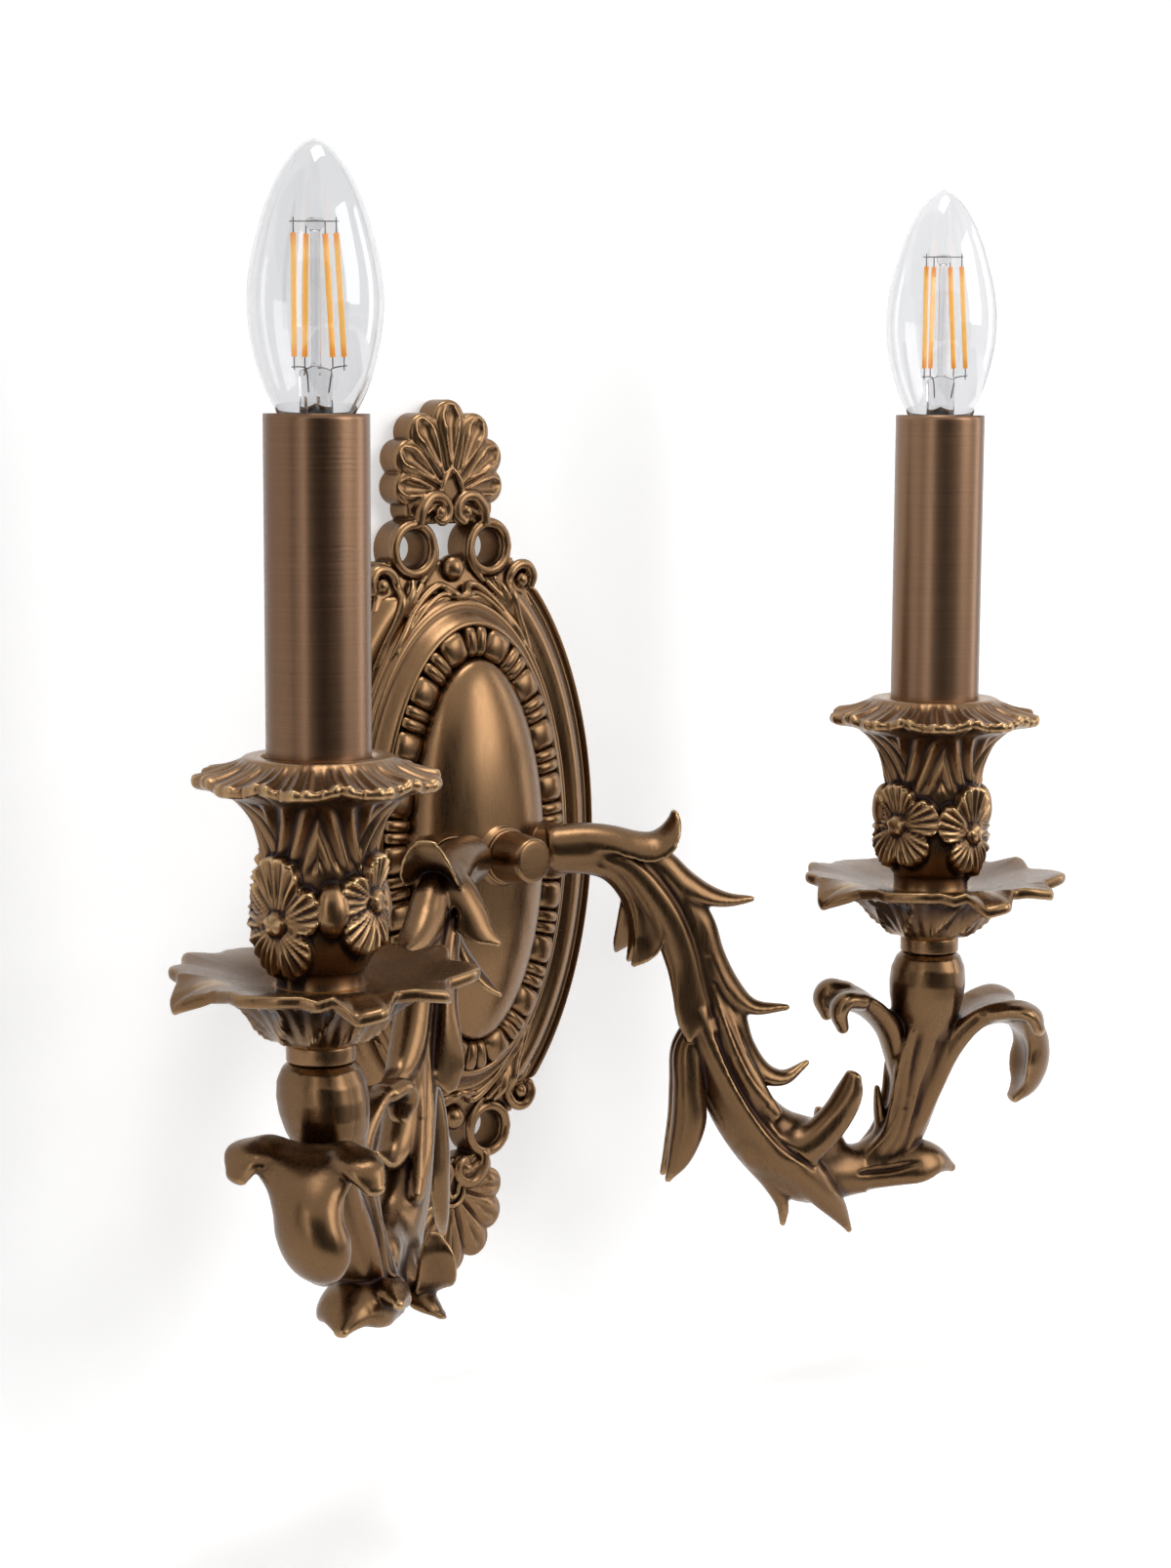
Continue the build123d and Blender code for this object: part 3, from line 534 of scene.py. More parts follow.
armLeaves = [   # columns: s, z, w place; h, t half width and thickness; a, b, c face; d camber
    # core of the root and of the stem
    leafOf("szht", "-3 1 7.4 7.3, 6 1.2 7.4 7, 14 0.6 6.8 6.2, 22 -1.5 6 5.4, 27 -5 5 4.5", thin=0),
    leafOf("szht", "20 -1 5 4.5, 28 -6 5.8 5.4, 35.5 -16 6.2 5.8, 40 -31 6.2 5.8, 43 -50 6.8 6.2, "
           "49 -68 8.4 7.2, 60 -88 10.2 8.8, 76 -104 10.2 9, 92 -107.5 8.2 8, 105 -103.5 7.6 7.2, "
           "113 -92 7.4 7, 115.6 -77 7.8 7.4, 117.4 -60 8.6 8.2", thin=0),
    # root leaf with its spoon turned up
    leafOf("szhtabd", "0 6.2 5 1.6 0 1 0.09, 8 6.5 6.8 1.8 0 1 0.09, 15 5.8 7.6 1.8 0.1 1 0.085, "
           "21.5 4.4 8.4 1.7 0.15 1 0.08, 27 4 9 1.6 -0.15 1 0.075, 31 6 8.4 1.4 -0.6 0.8 0.06, "
           "33.6 9.2 6 1.2 -0.85 0.5 0.05, 34.4 11.4 3.4 1 -0.95 0.4 0.04", blend=1.2),
    # rolled lower edge
    leafOf("szhtab", "-2 -4.6 5 2.2 0 -1, 6 -5 5.5 2.2 -0.1 -1, 12.5 -7 5.8 2.1 -0.5 -0.85, "
           "17.3 -11.6 5.6 2 -0.85 -0.5, 20.4 -18 5.4 1.7 -0.95 -0.3, 21.6 -26 4.6 1.5 -1 0, "
           "20.4 -34.6 1.2 0.9 -1 0.2", camber=0.05, blend=0.9),
    leafOf("szwht", "21 -15 3.6 2 1.3, 24.6 -21.5 4.2 3.8 1.2, 26 -27.5 4.4 4.6 1.1, "
           "23.8 -32 4.6 3.4 1, 21 -35.5 4.2 1 0.8", both=1, face=(-0.3, 0, 1), camber=-0.05, blend=0.9),
    # long smooth tongue over the stem, one on each side
    leafOf("szwhtabcd", "12 -1.5 4.8 2.5 1.6 0 0.3 1 0.06, 20 -4.4 5.4 4.6 2 0.1 0.2 1 0.07, "
           "28 -13 5.6 6.2 2.2 0.2 0.1 1 0.07, 34.4 -24.2 5.4 6.8 2.2 0.2 0 1 0.06, "
           "38.6 -36.5 5.2 6.6 2 0.2 0 1 0.05, 39.4 -47.5 5.6 5.9 1.8 0.15 0 1 0.01, "
           "38.8 -54 6.2 4 1.4 0 0.1 1 -0.03, 38.6 -59.4 6.6 1.2 1 -0.1 0.1 1 -0.03", blend=0.8),
    leafOf("szwhtabcd", "20 -3 -5 3 1.8 0.3 0.2 -1 0.06, 29 -12 -5.4 5.6 2.1 0.5 0.1 -0.9 0.06, "
           "36 -24 -5.8 6.6 2.2 0.6 0 -0.8 0.055, 40.5 -36 -6.4 7 2 0.7 0 -0.75 0.05, "
           "42 -47 -7.6 6.8 1.8 0.7 0.1 -0.7 0.02, 41.5 -54 -8.8 5.6 1.5 0.6 0.2 -0.7 -0.02, "
           "40.5 -59 -9.6 2.5 1.1 0.5 0.3 -0.7 -0.03", blend=0.8),
    # side leaves by the root that flare away from the tongue
    leafOf("szwhtabcd", "22 2 -4 4 1.8 0.5 0.6 -0.6 0.05, 26 -2 -7.5 6.2 1.8 0.6 0.4 -0.7 0.05, "
           "28 -8 -10.5 6.4 1.6 0.7 0.4 -0.6 0.05, 27.5 -14 -14 5 1.3 0.7 0.6 -0.4 0.03, "
           "25.5 -18.5 -19 1.2 0.9 0.6 0.8 -0.2 0", blend=0.9),
    leafOf("szwhtabc", "22 -14 -3 4 1.6 -0.3 0 -1, 22 -21 -6.5 4.2 1.5 -0.2 0.2 -1, "
           "21.5 -27 -10 3.8 1.3 0 0.5 -0.9, 20.5 -32 -14 2.8 1.1 0.1 0.7 -0.7, "
           "19.5 -35 -17.5 0.9 0.8 0.1 0.8 -0.5", blend=0.9),
    # three thorns on the outer edge, each on its own ridge
    leafOf("szhtab", "24 0 3 2.4 0.6 0.8, 31 -3.4 5 3.4 0.65 0.75, 37.5 -10 5.8 3.8 0.6 0.8, "
           "44.5 -14.4 5.2 3.3 0.3 0.95, 52 -16.5 3.2 2.2 0.1 1, 59.4 -16.4 1 1 0 1", camber=0.05, blend=1.8),
    leafOf("szhtab", "38 -13 3.4 2.4 0.9 0.4, 44.2 -23 4.6 3.2 0.95 0.3, 47.2 -34 5.4 3.8 0.9 0.4, "
           "52.4 -44 5.4 3.7 0.75 0.65, 60 -50.8 3.8 2.5 0.3 0.95, 71.3 -51.5 1 1 0 1",
           camber=0.05, blend=1.8),
    leafOf("szhtab", "49 -42 3.4 2.4 0.9 0.4, 54 -52 4.8 3.4 0.95 0.3, 57 -63 5.4 3.8 0.85 0.5, "
           "63 -71.6 5.2 3.4 0.5 0.85, 70.5 -74 3.8 2.3 0 1, 78.2 -69.8 1 1 -0.5 0.85",
           camber=0.04, blend=1.8),
    # front strands of the middle stem
    leafOf("szwht", "42 -52 5 2.5 1.8, 46 -62 6.2 3.6 2.6, 52 -74 7.4 4.2 3.2, 60 -87 8.2 4.8 3.6, "
           "70 -99 8.6 5.2 3.6, 80 -106 8 4 3", face=(0.2, 0.2, 1), camber=0.05, blend=2.6),
    leafOf("szwht", "47 -44 3.5 1.6 1.4, 51 -56 5 2.8 2.2, 55 -67 6.4 3.4 2.6, 60 -76 7.4 3.6 2.6, "
           "66 -84 8 2.4 2", both=1, face=(0.3, 0.3, 1), blend=1.6),
    leafOf("szht", "60 -86 7 6, 68 -92 8.2 7.4, 76 -95.6 8.6 7.8, 84 -98 8 7.4, 90.5 -102.4 5 5",
           thin=0, blend=2.4),
    # broad spoon turned up from the middle, and its lower twin behind
    leafOf("szwhtabcd", "60 -95 5 6 3.6 -0.2 0.4 1 0.06, 69 -96 7.4 6.8 3.6 -0.3 0.5 1 0.06, "
           "78 -92.5 9 6.6 3.2 -0.5 0.6 0.8 0.05, 85.2 -85.5 10.6 6.2 2.8 -0.6 0.6 0.7 0.04, "
           "89.4 -78 11.8 5.6 2.4 -0.75 0.4 0.6 0.03, 90.8 -72.4 12.4 3.4 1.7 -0.8 0.3 0.6 0.02", blend=2.6),
    leafOf("szwhtabcd", "62 -98 -5 5 2.4 0 0.5 -1 0.06, 72 -106 -9 6 2.2 0.1 0.4 -1 0.06, "
           "80 -109 -13 6.4 2 0.5 0.3 -0.8 0.04, 86 -104 -16 6.8 1.8 0.85 0.1 -0.5 -0.03, "
           "88.5 -96 -17 5.6 1.5 0.9 0 -0.4 -0.04, 88 -90.5 -17 2.6 1.1 0.9 -0.1 -0.4 -0.04", blend=2.2),
    # long leaf down the wall side, one on each side
    leafOf("szwht", "41 -55 2.5 2 2, 38.5 -64 4 4.8 2.8, 38.5 -75 5 5 3.2, 38.5 -86 5.4 5.6 3, "
           "36 -97 5 4 2.3, 32.6 -104.6 4.2 1 1.1", both=1, face=(-0.4, 0, 1), camber=0.06, blend=1.1),
    # lower edge strand with its spike, and the spike with the ridge
    leafOf("szhtab", "44 -72 3.8 2.6 -0.85 -0.5, 50.5 -85 4.6 3.2 -0.85 -0.5, "
           "58.5 -97 5.2 3.6 -0.8 -0.6, 66 -106.5 4.6 3.2 -0.8 -0.6, 70.6 -115 3 2.2 -0.9 -0.3, "
           "71 -121.8 1 1 -1 0", blend=1.1),
    leafOf("szwht", "68 -94 7 4.8 2.8, 75 -101 9 5.4 3, 82 -109 9.6 5.2 2.7, 88 -116.5 8.6 3.8 2.1, "
           "92.9 -124.8 6.4 1 1.1", face=(0.1, 0.3, 1), camber=0.1, blend=2.2),
    leafOf("szwht", "68 -98 -7 5 2.8, 76 -103 -10 7 3, 82 -108 -13.4 8 2.9, 86 -112.5 -16.6 6.4 2.4, "
           "88 -116.4 -18.6 2.2 1.5", face=(0.5, 0.1, -1), camber=0.06, blend=1.2),
    # fat leaf under the candle with two drooping lobes
    leafOf("szhtabd", "88 -106.5 7.4 6.6 0 1 0.02, 98 -106.5 8.8 6.8 0 1 0.03, "
           "108 -104.8 10 6.4 0.1 1 0.035, 116 -103.4 10.6 5.6 0.1 1 0.04, "
           "123 -104.6 8.4 4.2 0.2 1 0.04, 129.6 -108.4 2.2 1.5 0.3 1 0.02", blend=1.6),
    leafOf("szwht", "103 -104.6 -5 5 4.4, 110 -102.6 -8 6 4.4, 116 -101.4 -11 5 3.4, "
           "120.6 -102.4 -14 1.8 1.5", face=(0.1, 1, -0.4), camber=0.03, blend=2.2),
    # three ridges up to the egg, on each side, and a small leaf inside the bend
    leafOf("szwht", "100 -103 4.6 2.6 2.2, 106.5 -95 5.4 3 2.4, 109 -84 5.6 3 2.3, 109.4 -72 6 2.6 2, "
           "111.4 -60 6.8 1.6 1.3", both=1, face=(-0.2, 0, 1), blend=1.5),
    leafOf("szwht", "109 -101 5.4 2.6 2.2, 113 -92 6.2 3 2.4, 114.6 -80 6.4 3 2.3, 116 -68 7 2.6 2, "
           "117.6 -57 8 1.8 1.4", both=1, face=(0, 0, 1), blend=1.5),
    leafOf("szht", "106 -97 3.4 2.2, 104.6 -90 3 1.9, 103.6 -84 2.2 1.4, 103 -80 1 0.9",
           face=(-1, 0, 0), blend=1.4),
    # leaf towards the wall, hooked down at both corners
    leafOf("szhtabd", "112 -80 4.8 3.6 0.9 0.3 0.04, 109 -69 6 4 0.9 0.4 0.02, "
           "105 -59.5 7.6 4 0.8 0.7 -0.01, 98.5 -53 10 3.6 0.4 1 -0.02, 92 -50.4 12 3 -0.1 1 -0.02, "
           "88 -51.4 12 2.4 -0.6 0.9 -0.01", blend=1.2),
    leafOf("szwhtab", "93 -48.5 8.6 4.4 2.8 0 1, 87.8 -48.2 10 5.2 3 -0.7 0.7, "
           "85.6 -51.6 10.4 5 2.8 -1 0, 87.2 -56.6 9.8 3 2 -1 -0.3", both=1, blend=1.0),
    # big outer leaf: arches over, with a lobe on each side and a hanging middle
    leafOf("szhtabd", "115 -94 5.6 3.8 -1 0.2 0.02, 118.6 -84 6.6 4.2 -1 0.3 0, "
           "122 -74 7.2 4.4 -0.9 0.4 -0.02, 126.4 -65 8.2 4.4 -0.75 0.7 -0.03, "
           "133 -58.6 10.2 4.2 -0.4 0.9 -0.03, 140.4 -56 13.6 4 0 1 -0.02, "
           "147.6 -57 14.6 4 0.35 0.95 -0.014, 153.4 -61 10.6 4.2 0.7 0.75 0.012, "
           "157.4 -67 9.6 4.4 0.95 0.4 0.035, 158.4 -75 10.2 4.2 1 0 0.045, "
           "156 -82 8.8 3.5 0.9 -0.5 0.04, 151.6 -86.6 4.2 1.9 0.75 -0.7 0.03", blend=2.0),
    leafOf("szwhtabc", "137 -54.6 9 5 2.6 0 1 0, 144.6 -53.4 13 6.2 3 0.1 1 0, "
           "149.6 -54.8 16.4 6.2 2.8 0.4 1 0.1, 151.6 -59.4 18.6 3.4 2 0.8 0.8 0.3", both=1, blend=1.8),
    leafOf("szwht", "113 -97 4 2.4 2.2, 117 -88 5.4 2.8 2.4, 121 -77.6 6 2.8 2.4, "
           "125.6 -67 6.8 2.7 2.3, 131.6 -58.6 8.8 2.5 2.1, 138.6 -54.2 11.2 2.4 2, 146 -53 14 1.8 1.6",
           both=1, face=(0.3, 0.2, 1), blend=1.3),
]
armGrooves = [   # cut into both sides: path, radius
    (rows("22 -2 6.4, 29 -8 7, 36 -18 7, 41 -30 6.8, 44 -42 6.6, 46 -52 6.4"), 1.25),
    (rows("45 -34 6, 49 -46 6.6, 53.5 -58 7.8, 59 -70 9.4, 66 -80 10.6"), 1.25),
    (rows("47 -58 7.2, 52 -70 8.8, 59 -82 10.6, 68 -93 11.8, 78 -101 11.6"), 1.1),
    (rows("82 -97 10.5, 92 -100.5 9.6, 101 -97 8.6, 106.4 -88 8, 108.6 -77 8.4, 110 -66 8.8"), 1.2),
    (rows("104 -104 8.6, 111 -98 8.4, 114.4 -88 8.4, 116.4 -77 8.8, 118.8 -66 9.4"), 1.2),
    (rows("96 -106.5 7.6, 106 -105.5 8.8, 115 -103.6 9.6"), 0.9)]
armEgg = rows("8.6 -34.6, 10.3 -36.2, 11.8 -39.6, 12.3 -44.4, 12 -49, 11 -54, 9.2 -59, 7.4 -62.4, "
              "5 -65, 2 -66")


def armCasting():
    casting = Casting(armSizes["low"], armSizes["high"], armSizes["step"])
    flip = np.array([1, 1, -1])
    for entry in armLeaves:
        entry = dict(entry)
        pair = entry.pop("both", 0)
        casting.leaf(**entry)
        if pair:
            entry["path"] = entry["path"] * flip
            entry["face"] = np.array(entry.get("face", (0, 0, 1))) * flip
            casting.leaf(**entry)
    for line, deep in armGrooves:
        size = deep * np.array([0.4] + [1] * (len(line) - 2) + [0.4])
        casting.leaf(line, size, size, (0.3, 0.1, 1), 0, 1.3, True)
        casting.leaf(line * flip, size, size, (0.3, 0.1, -1), 0, 1.3, True)
    radii, levels = armEgg.T
    where, spot = casting.window((103, -66, -14), (132, -30, 14))
    radius = np.interp(-spot[..., 1], -levels, radii)
    away = np.hypot(spot[..., 0] - armSizes["candle"], spot[..., 2]) - radius
    casting.melt(where, np.maximum(away, -66 - spot[..., 1]).astype(np.float32), 2.2)
    where, spot = casting.window((103, -36, -14), (132, -26, 14))
    casting.field[where] = np.maximum(casting.field[where], spot[..., 1] - armSizes["top"])
    print("arm casting:", casting.field.shape)
    return casting


def armBend(side, out, level, across):          # the casting leans a little below the candle
    low, far = np.clip((-34 - level) / 70, 0, 1), np.clip((out - 66) / 34, 0, 1)
    amount = low * low * (3 - 2 * low) * far * far * (3 - 2 * far)
    level = level + armSizes["tuck"][side] * np.maximum(-112 - level, 0)
    across = across - armSizes["bow"] * amount - armSizes["turn"] * np.maximum(out - 119, 0)
    return level + armSizes["rise"][side] * amount, across


def armSpot(side, out, level, across):         # from the arm's own frame to the shared one
    turn = sides[side]
    rootX, rootY = armSizes["root"]
    dx, dy = armSizes["out"]
    level, across = armBend(side, out, level, across)
    return np.stack([turn * rootX + turn * dx * out + dy * across, rootY + dy * out - turn * dx * across,
        level], 1)


def armPlace(side):
    return lambda points: armSpot(side, points[:, 0] - armSizes["start"], points[:, 1], points[:, 2])


def armWires(side):                            # the leads, bent like the casting round them
    turn = sides[side]
    rootX, rootY = armSizes["root"]
    dx, dy = armSizes["out"]
    mesh = nodes[f"leads_{side}"].data.copy()
    at = np.empty(len(mesh.vertices) * 3, np.float32)
    mesh.vertices.foreach_get("co", at)
    at = at.reshape(-1, 3) / mm
    x, y = at[:, 0] - turn * rootX, at[:, 1] - rootY
    at = armSpot(side, turn * dx * x + dy * y, at[:, 2], dy * x - turn * dx * y)
    mesh.vertices.foreach_set("co", (at * mm).astype(np.float32).ravel())
    mesh.materials.clear()
    mesh.materials.append(nodeLooks["lead_cover"])
    piece = bpy.data.objects.new(f"arm_wires_{side}", mesh)
    bpy.context.scene.collection.objects.link(piece)
    attach(piece, "fixture", "lead_cover", f"leads_{side}")


arm = armCasting()
armWearAndShade = ((1.0, 2.4, 5.0), (0.42, 0.22, 0.07))
for side in sides:
    piece = arm.piece(f"arm_casting_{side}", armPlace(side), shadedArmBrass, armWearAndShade)
    attach(piece, "fixture", "antique_brass", f"arm_{side}")
    armWires(side)
    print("arm", side, len(piece.data.polygons), "faces")

# backplate: (half width, depth) from the rim inwards; half height follows the half width
plateSizes = {"around": 420, "cutLevel": 80.0, "cutDepth": 8.0,
              "heights": [(0, 0), (25, 59), (36, 70), (60, 98.6)]}
plateFront = rows("60 0, 60 4, 60 7.6, 59.8 8.6, 59.4 9.05, 58.9 9, 58.6 8.5, 58.4 7.7, 57.9 7.3, "
                  "57.3 7.5, 57 8.2, 56.8 8.9, 56.4 9.3, 55.9 9.2, 55.6 8.9, 55 9.4, 54 10.5, 53 11.4, "
                  "52 12.1, 51 12.6, 50 12.9, 49 12.9, 48 12.7, 47 12.2, 46.2 11.6, 45.6 11.3, "
                  "45.1 11.5, 44.8 12.3, 44.5 13.3, 44 13.9, 43.4 14, 42.9 13.8, 42.6 13.9, 42.3 14.9, "
                  "41.7 15.6, 40.9 15.7, 40.2 15.5, 39.7 15.9, 39 17.2, 38.2 18.8, 37.4 20.2, "
                  "36.8 20.9, 36.2 21.1, 35.7 20.8, 35.4 20, 35 19.4, 33.5 19.2, 31 19.3, 28.5 19.5, "
                  "26.9 19.3, 26.4 19.4, 26.1 19.9, 25.9 20.5")


def plateBody():
    dome = [(25.8 * k, 20.7 + 14.1 * (1 - k ** 2.5) ** 0.6) for k in np.cos(np.linspace(0.12, pi / 2,
        30))[:-1]]
    inner = rows("0.02 32.2, 8 31.6, 14 29.6, 19 26, 22 20, 24.5 16.8, 36 16.5, 39 12.6, 44 10.4, 50 9.6, "
                 "56 6.4, 57.6 5, 57.6 0")
    wide, deep = np.vstack([plateFront, dome, [(0.02, 34.8)], inner]).T
    tall = np.interp(wide, *zip(*plateSizes["heights"]))
    angle = np.linspace(0, 2 * pi, plateSizes["around"], endpoint=False)
    x = wide[:, None] * np.cos(angle)
    z = tall[:, None] * np.sin(angle)
    y = -deep[:, None] * np.ones(len(angle))
    over = np.maximum(np.abs(z) - plateSizes["cutLevel"] + 1.5, 0)
    pressed = plateSizes["cutLevel"] - 1.5 + 1.5 * (1 - np.exp(-over / 1.5)) + 0.02 * over
    z = np.where(over > 0, np.sign(z) * pressed, z)
    flat = np.clip(over / 4, 0, 1)
    y = np.where(-y > plateSizes["cutDepth"], y * (1 - flat) - plateSizes["cutDepth"] * flat, y)
    points = np.stack([x, y, z], -1).reshape(-1, 3)
    piece = meshPiece("plate_body", points, [gridFaces(len(wide), len(angle), True)], castBrass)
    tidyMesh(piece, 0.003)
    addWearAndShade(piece, (0.9, 2.2), (0.55, 0.22))
    attach(piece, "fixture", "antique_brass", "backplate")


plateBody()
print("plate body ready")

# crest: palmette, scroll rings and strands, made once and turned over for the bottom
crestSizes = {"step": 0.42, "low": (-35, -15.5, 54), "high": (35, 0.3, 140.2), "thick": 8.8, "fan": (0.0,
    110.0)}
toRoom = (0, -1, 0)
crestLobes = [(0, 132.6, 6.1), (9.9, 128.6, 6.0), (15.2, 120.8, 5.9), (15.9, 112.0, 5.5), (12.9, 105.2, 4.3)]
# half thickness, depth of the middle, then (x, z) along it; each one also on the other side
crestStrands = [
    (2.1, 10.0, rows("13 101.2, 12 105.6, 8.8 108.9, 5 109, 2.2 106.6, 2 103.4, 4.2 101.5, 6.6 102.6")),
    (0.95, 9.8, rows("4.1 111, 2.9 114.2, 1.4 116.6, 0 117.8")),
    (1.30, 9.6, rows("7.3 95.4, 6.6 91.6, 7.5 88.2, 9.7 85.2, 12.6 82.4, 14.6 80.6")),
    (1.8, 10.4, rows("31.4 80.6, 32 83.6, 30 86.8, 26.6 87.2, 23.6 85.2, 22.2 81.6, 22.2 77.4, "
        "24.3 71.4, 28.2 64.2, 32.2 57.4")),
    (1.15, 11.0, rows("16.4 83.2, 18.4 79.6, 22.2 73, 27 65.2, 31 58.4")),
    (1.15, 11.2, rows("13.2 82.2, 18 77, 22.6 71.2, 27 64.4, 30.6 58.6")),
    (1.45, 11.5, rows("0 78, 2.2 79, 4.6 81.3, 7.4 81.7, 12.2 78.9, 17.6 73.9, 22.6 67.4, 27.4 60.6")),
    (0.85, 11.8, rows("3.6 78.6, 6.2 79.3, 10.2 77.6, 15 74, 20.6 68, 25.6 61.6"))]


def plateDepth(x, z):                         # how far the plate stands out at one place
    wide = np.linspace(1, 60, 400)
    tall = np.interp(wide, *zip(*plateSizes["heights"]))
    place = wide[np.argmax((x / wide) ** 2 + (z / tall) ** 2 <= 1)]
    front = plateFront[::-1]
    return float(np.interp(place, front[:, 0], front[:, 1])) if z < 80 else 0.0


def crestSlab(x, y, z):                       # flat body of lobes, rings and deck, with a rounded edge
    ground = np.full(x.shape, 99.0, np.float32)
    hole = 4.3 + 1.7 * np.clip(-y / 8.8, 0, 1) - np.hypot(x - 14.6, z - 93.1)
    for a, b, r in crestLobes:
        ground = np.minimum(ground, np.hypot(x - a, z - b) - r)
    ground = np.minimum(ground, np.hypot(x, z - 118) - 14.5)
    ground = np.minimum(ground, np.maximum(np.hypot(x - 5.6, z - 105) - 6.6, 100.6 - z))
    ground = np.minimum(ground, np.maximum(np.hypot(x - 14.6, z - 93.1) - 9.1, hole))
    ground = np.minimum(ground, np.hypot(x - 27, z - 83) - 5.2)
    deck = np.maximum(np.maximum(x - (30.5 - 0.42 * (z - 78)), z - 89.5), 74 - z)
    deck = np.maximum(deck, hole)
    ground = np.minimum(ground, deck)
    shelf = np.interp(z, [74, 80, 86, 100], [11.2, 10.2, crestSizes["thick"], crestSizes["thick"]])
    edge = 1.1
    flat = np.stack([ground + edge, np.maximum(-shelf - y, y) + edge], -1)
    slab = np.minimum(flat.max(-1), 0) + np.hypot(np.maximum(flat[..., 0], 0), np.maximum(flat[..., 1],
        0)) - edge
    return slab.astype(np.float32)


def crestPetal(casting, plain, side, a, b, r):     # one petal and the hollow in it
    fanX, fanZ = crestSizes["fan"]
    reach = np.array([side * a - fanX, b - fanZ])
    tip = reach + reach / np.linalg.norm(reach) * (r - 2.2)

    def row(*stations):
        return [(fanX + f * tip[0], -depth, fanZ + f * tip[1]) for f, depth in stations]

    line = row((0.22, 8.8), (0.5, 9.2), (0.8, 9.2), (1.0, 8.0))
    casting.leaf(line, [0.8, 2.4, 0.80 * r, 0.62 * r], [0.9, 1.3, 1.7, 1.6], toRoom, 0.045, 0.5)
    if plain:
        line = row((0.5, 10.6), (0.75, 10.6), (0.98, 10.6))
        casting.leaf(line, [0.3, 0.7, 1.2], [0.5, 0.75, 0.9], toRoom, 0, 1.1, True)
    else:
        line = row((0.42, 11.0), (0.66, 11.0), (0.88, 11.0), (0.98, 11.0))
        casting.leaf(line, [0.4, 1.3, 0.50 * r, 0.40 * r], [1.1, 1.9, 2.4, 2.2], toRoom, 0, 0.4, True)


def crestBall(casting, x, depth, z, radius):
    casting.leaf([(x, -depth, z - 0.1), (x, -depth, z + 0.1)], radius, radius, toRoom, 0, 0.4)


def crestCasting(plain):
    casting = Casting(crestSizes["low"], crestSizes["high"], crestSizes["step"])
    where, spot = casting.window(crestSizes["low"], crestSizes["high"])
    y = spot[..., 1]
    casting.melt(where, crestSlab(np.abs(spot[..., 0]), y, spot[..., 2]), 0.8)
    for side in (-1, 1):
        for a, b, r in crestLobes:
            if a or side > 0:
                crestPetal(casting, plain, side, a, b, r)
        for thick, depth, line in crestStrands:
            if plain and line[0][1] > 110.5:
                line = [(0, 116.0), (2.6, 115.2), (4.4, 112.6), (4.6, 110.4)]
            row = [(side * a, -max(depth, 0.15 * thick + plateDepth(a, b)), b) for a, b in line]
            size = thick * np.interp(np.arange(len(row)), [0, 1, len(row) - 2, len(row) - 1], [0.8, 1,
                0.75, 0.35])
            casting.leaf(row, size, size, toRoom, 0, 0.5)
        crestBall(casting, side * 5.2, 10.2, 104.4, 2.0)
        crestBall(casting, side * 27.7, 9.8, 82.5, 2.4)
        turn = np.linspace(0, 2 * pi, 13)
        casting.leaf([(side * 14.8 + 7.5 * cos(t), -9.2, 93.1 + 7.5 * sin(t)) for t in turn], 1.75, 1.75,
            toRoom, 0, 0.5)
    if plain:
        casting.leaf([(-2.2, -9.9, 109.6), (-1.6, -9.9, 112.0), (0, -9.9, 113.0), (1.6, -9.9, 112.0), (2.2,
            -9.9, 109.6)], 0.8, 0.8, toRoom, 0, 0.4)
    crestBall(casting, 0, 9.2, 87.0, 4.1)
    casting.field[where] = np.maximum(casting.field[where], y + 0.02)
    return casting


for name, plain, flip in (("crest_top", 0, 1), ("crest_bottom", 1, -1)):
    crest = crestCasting(plain)
    piece = crest.piece(name, lambda p: p * np.array([1, 1, flip]), castBrass, ((0.8, 1.8, 3.5), (0.50,
        0.25, 0.07)))
    attach(piece, "fixture", "antique_brass")
    print(name, len(piece.data.polygons), "faces")

# bead ring: one block and two beads, eighteen times round an ellipse
beadSizes = {"Half width": 31.0 * mm, "Half height": 64.9 * mm, "Depth": 19.9 * mm, "Groups": 18,
             "Block length": 10.0 * mm, "Bead length": 4.3 * mm, "Band": 10.4 * mm, "Rise": 6.2 * mm}


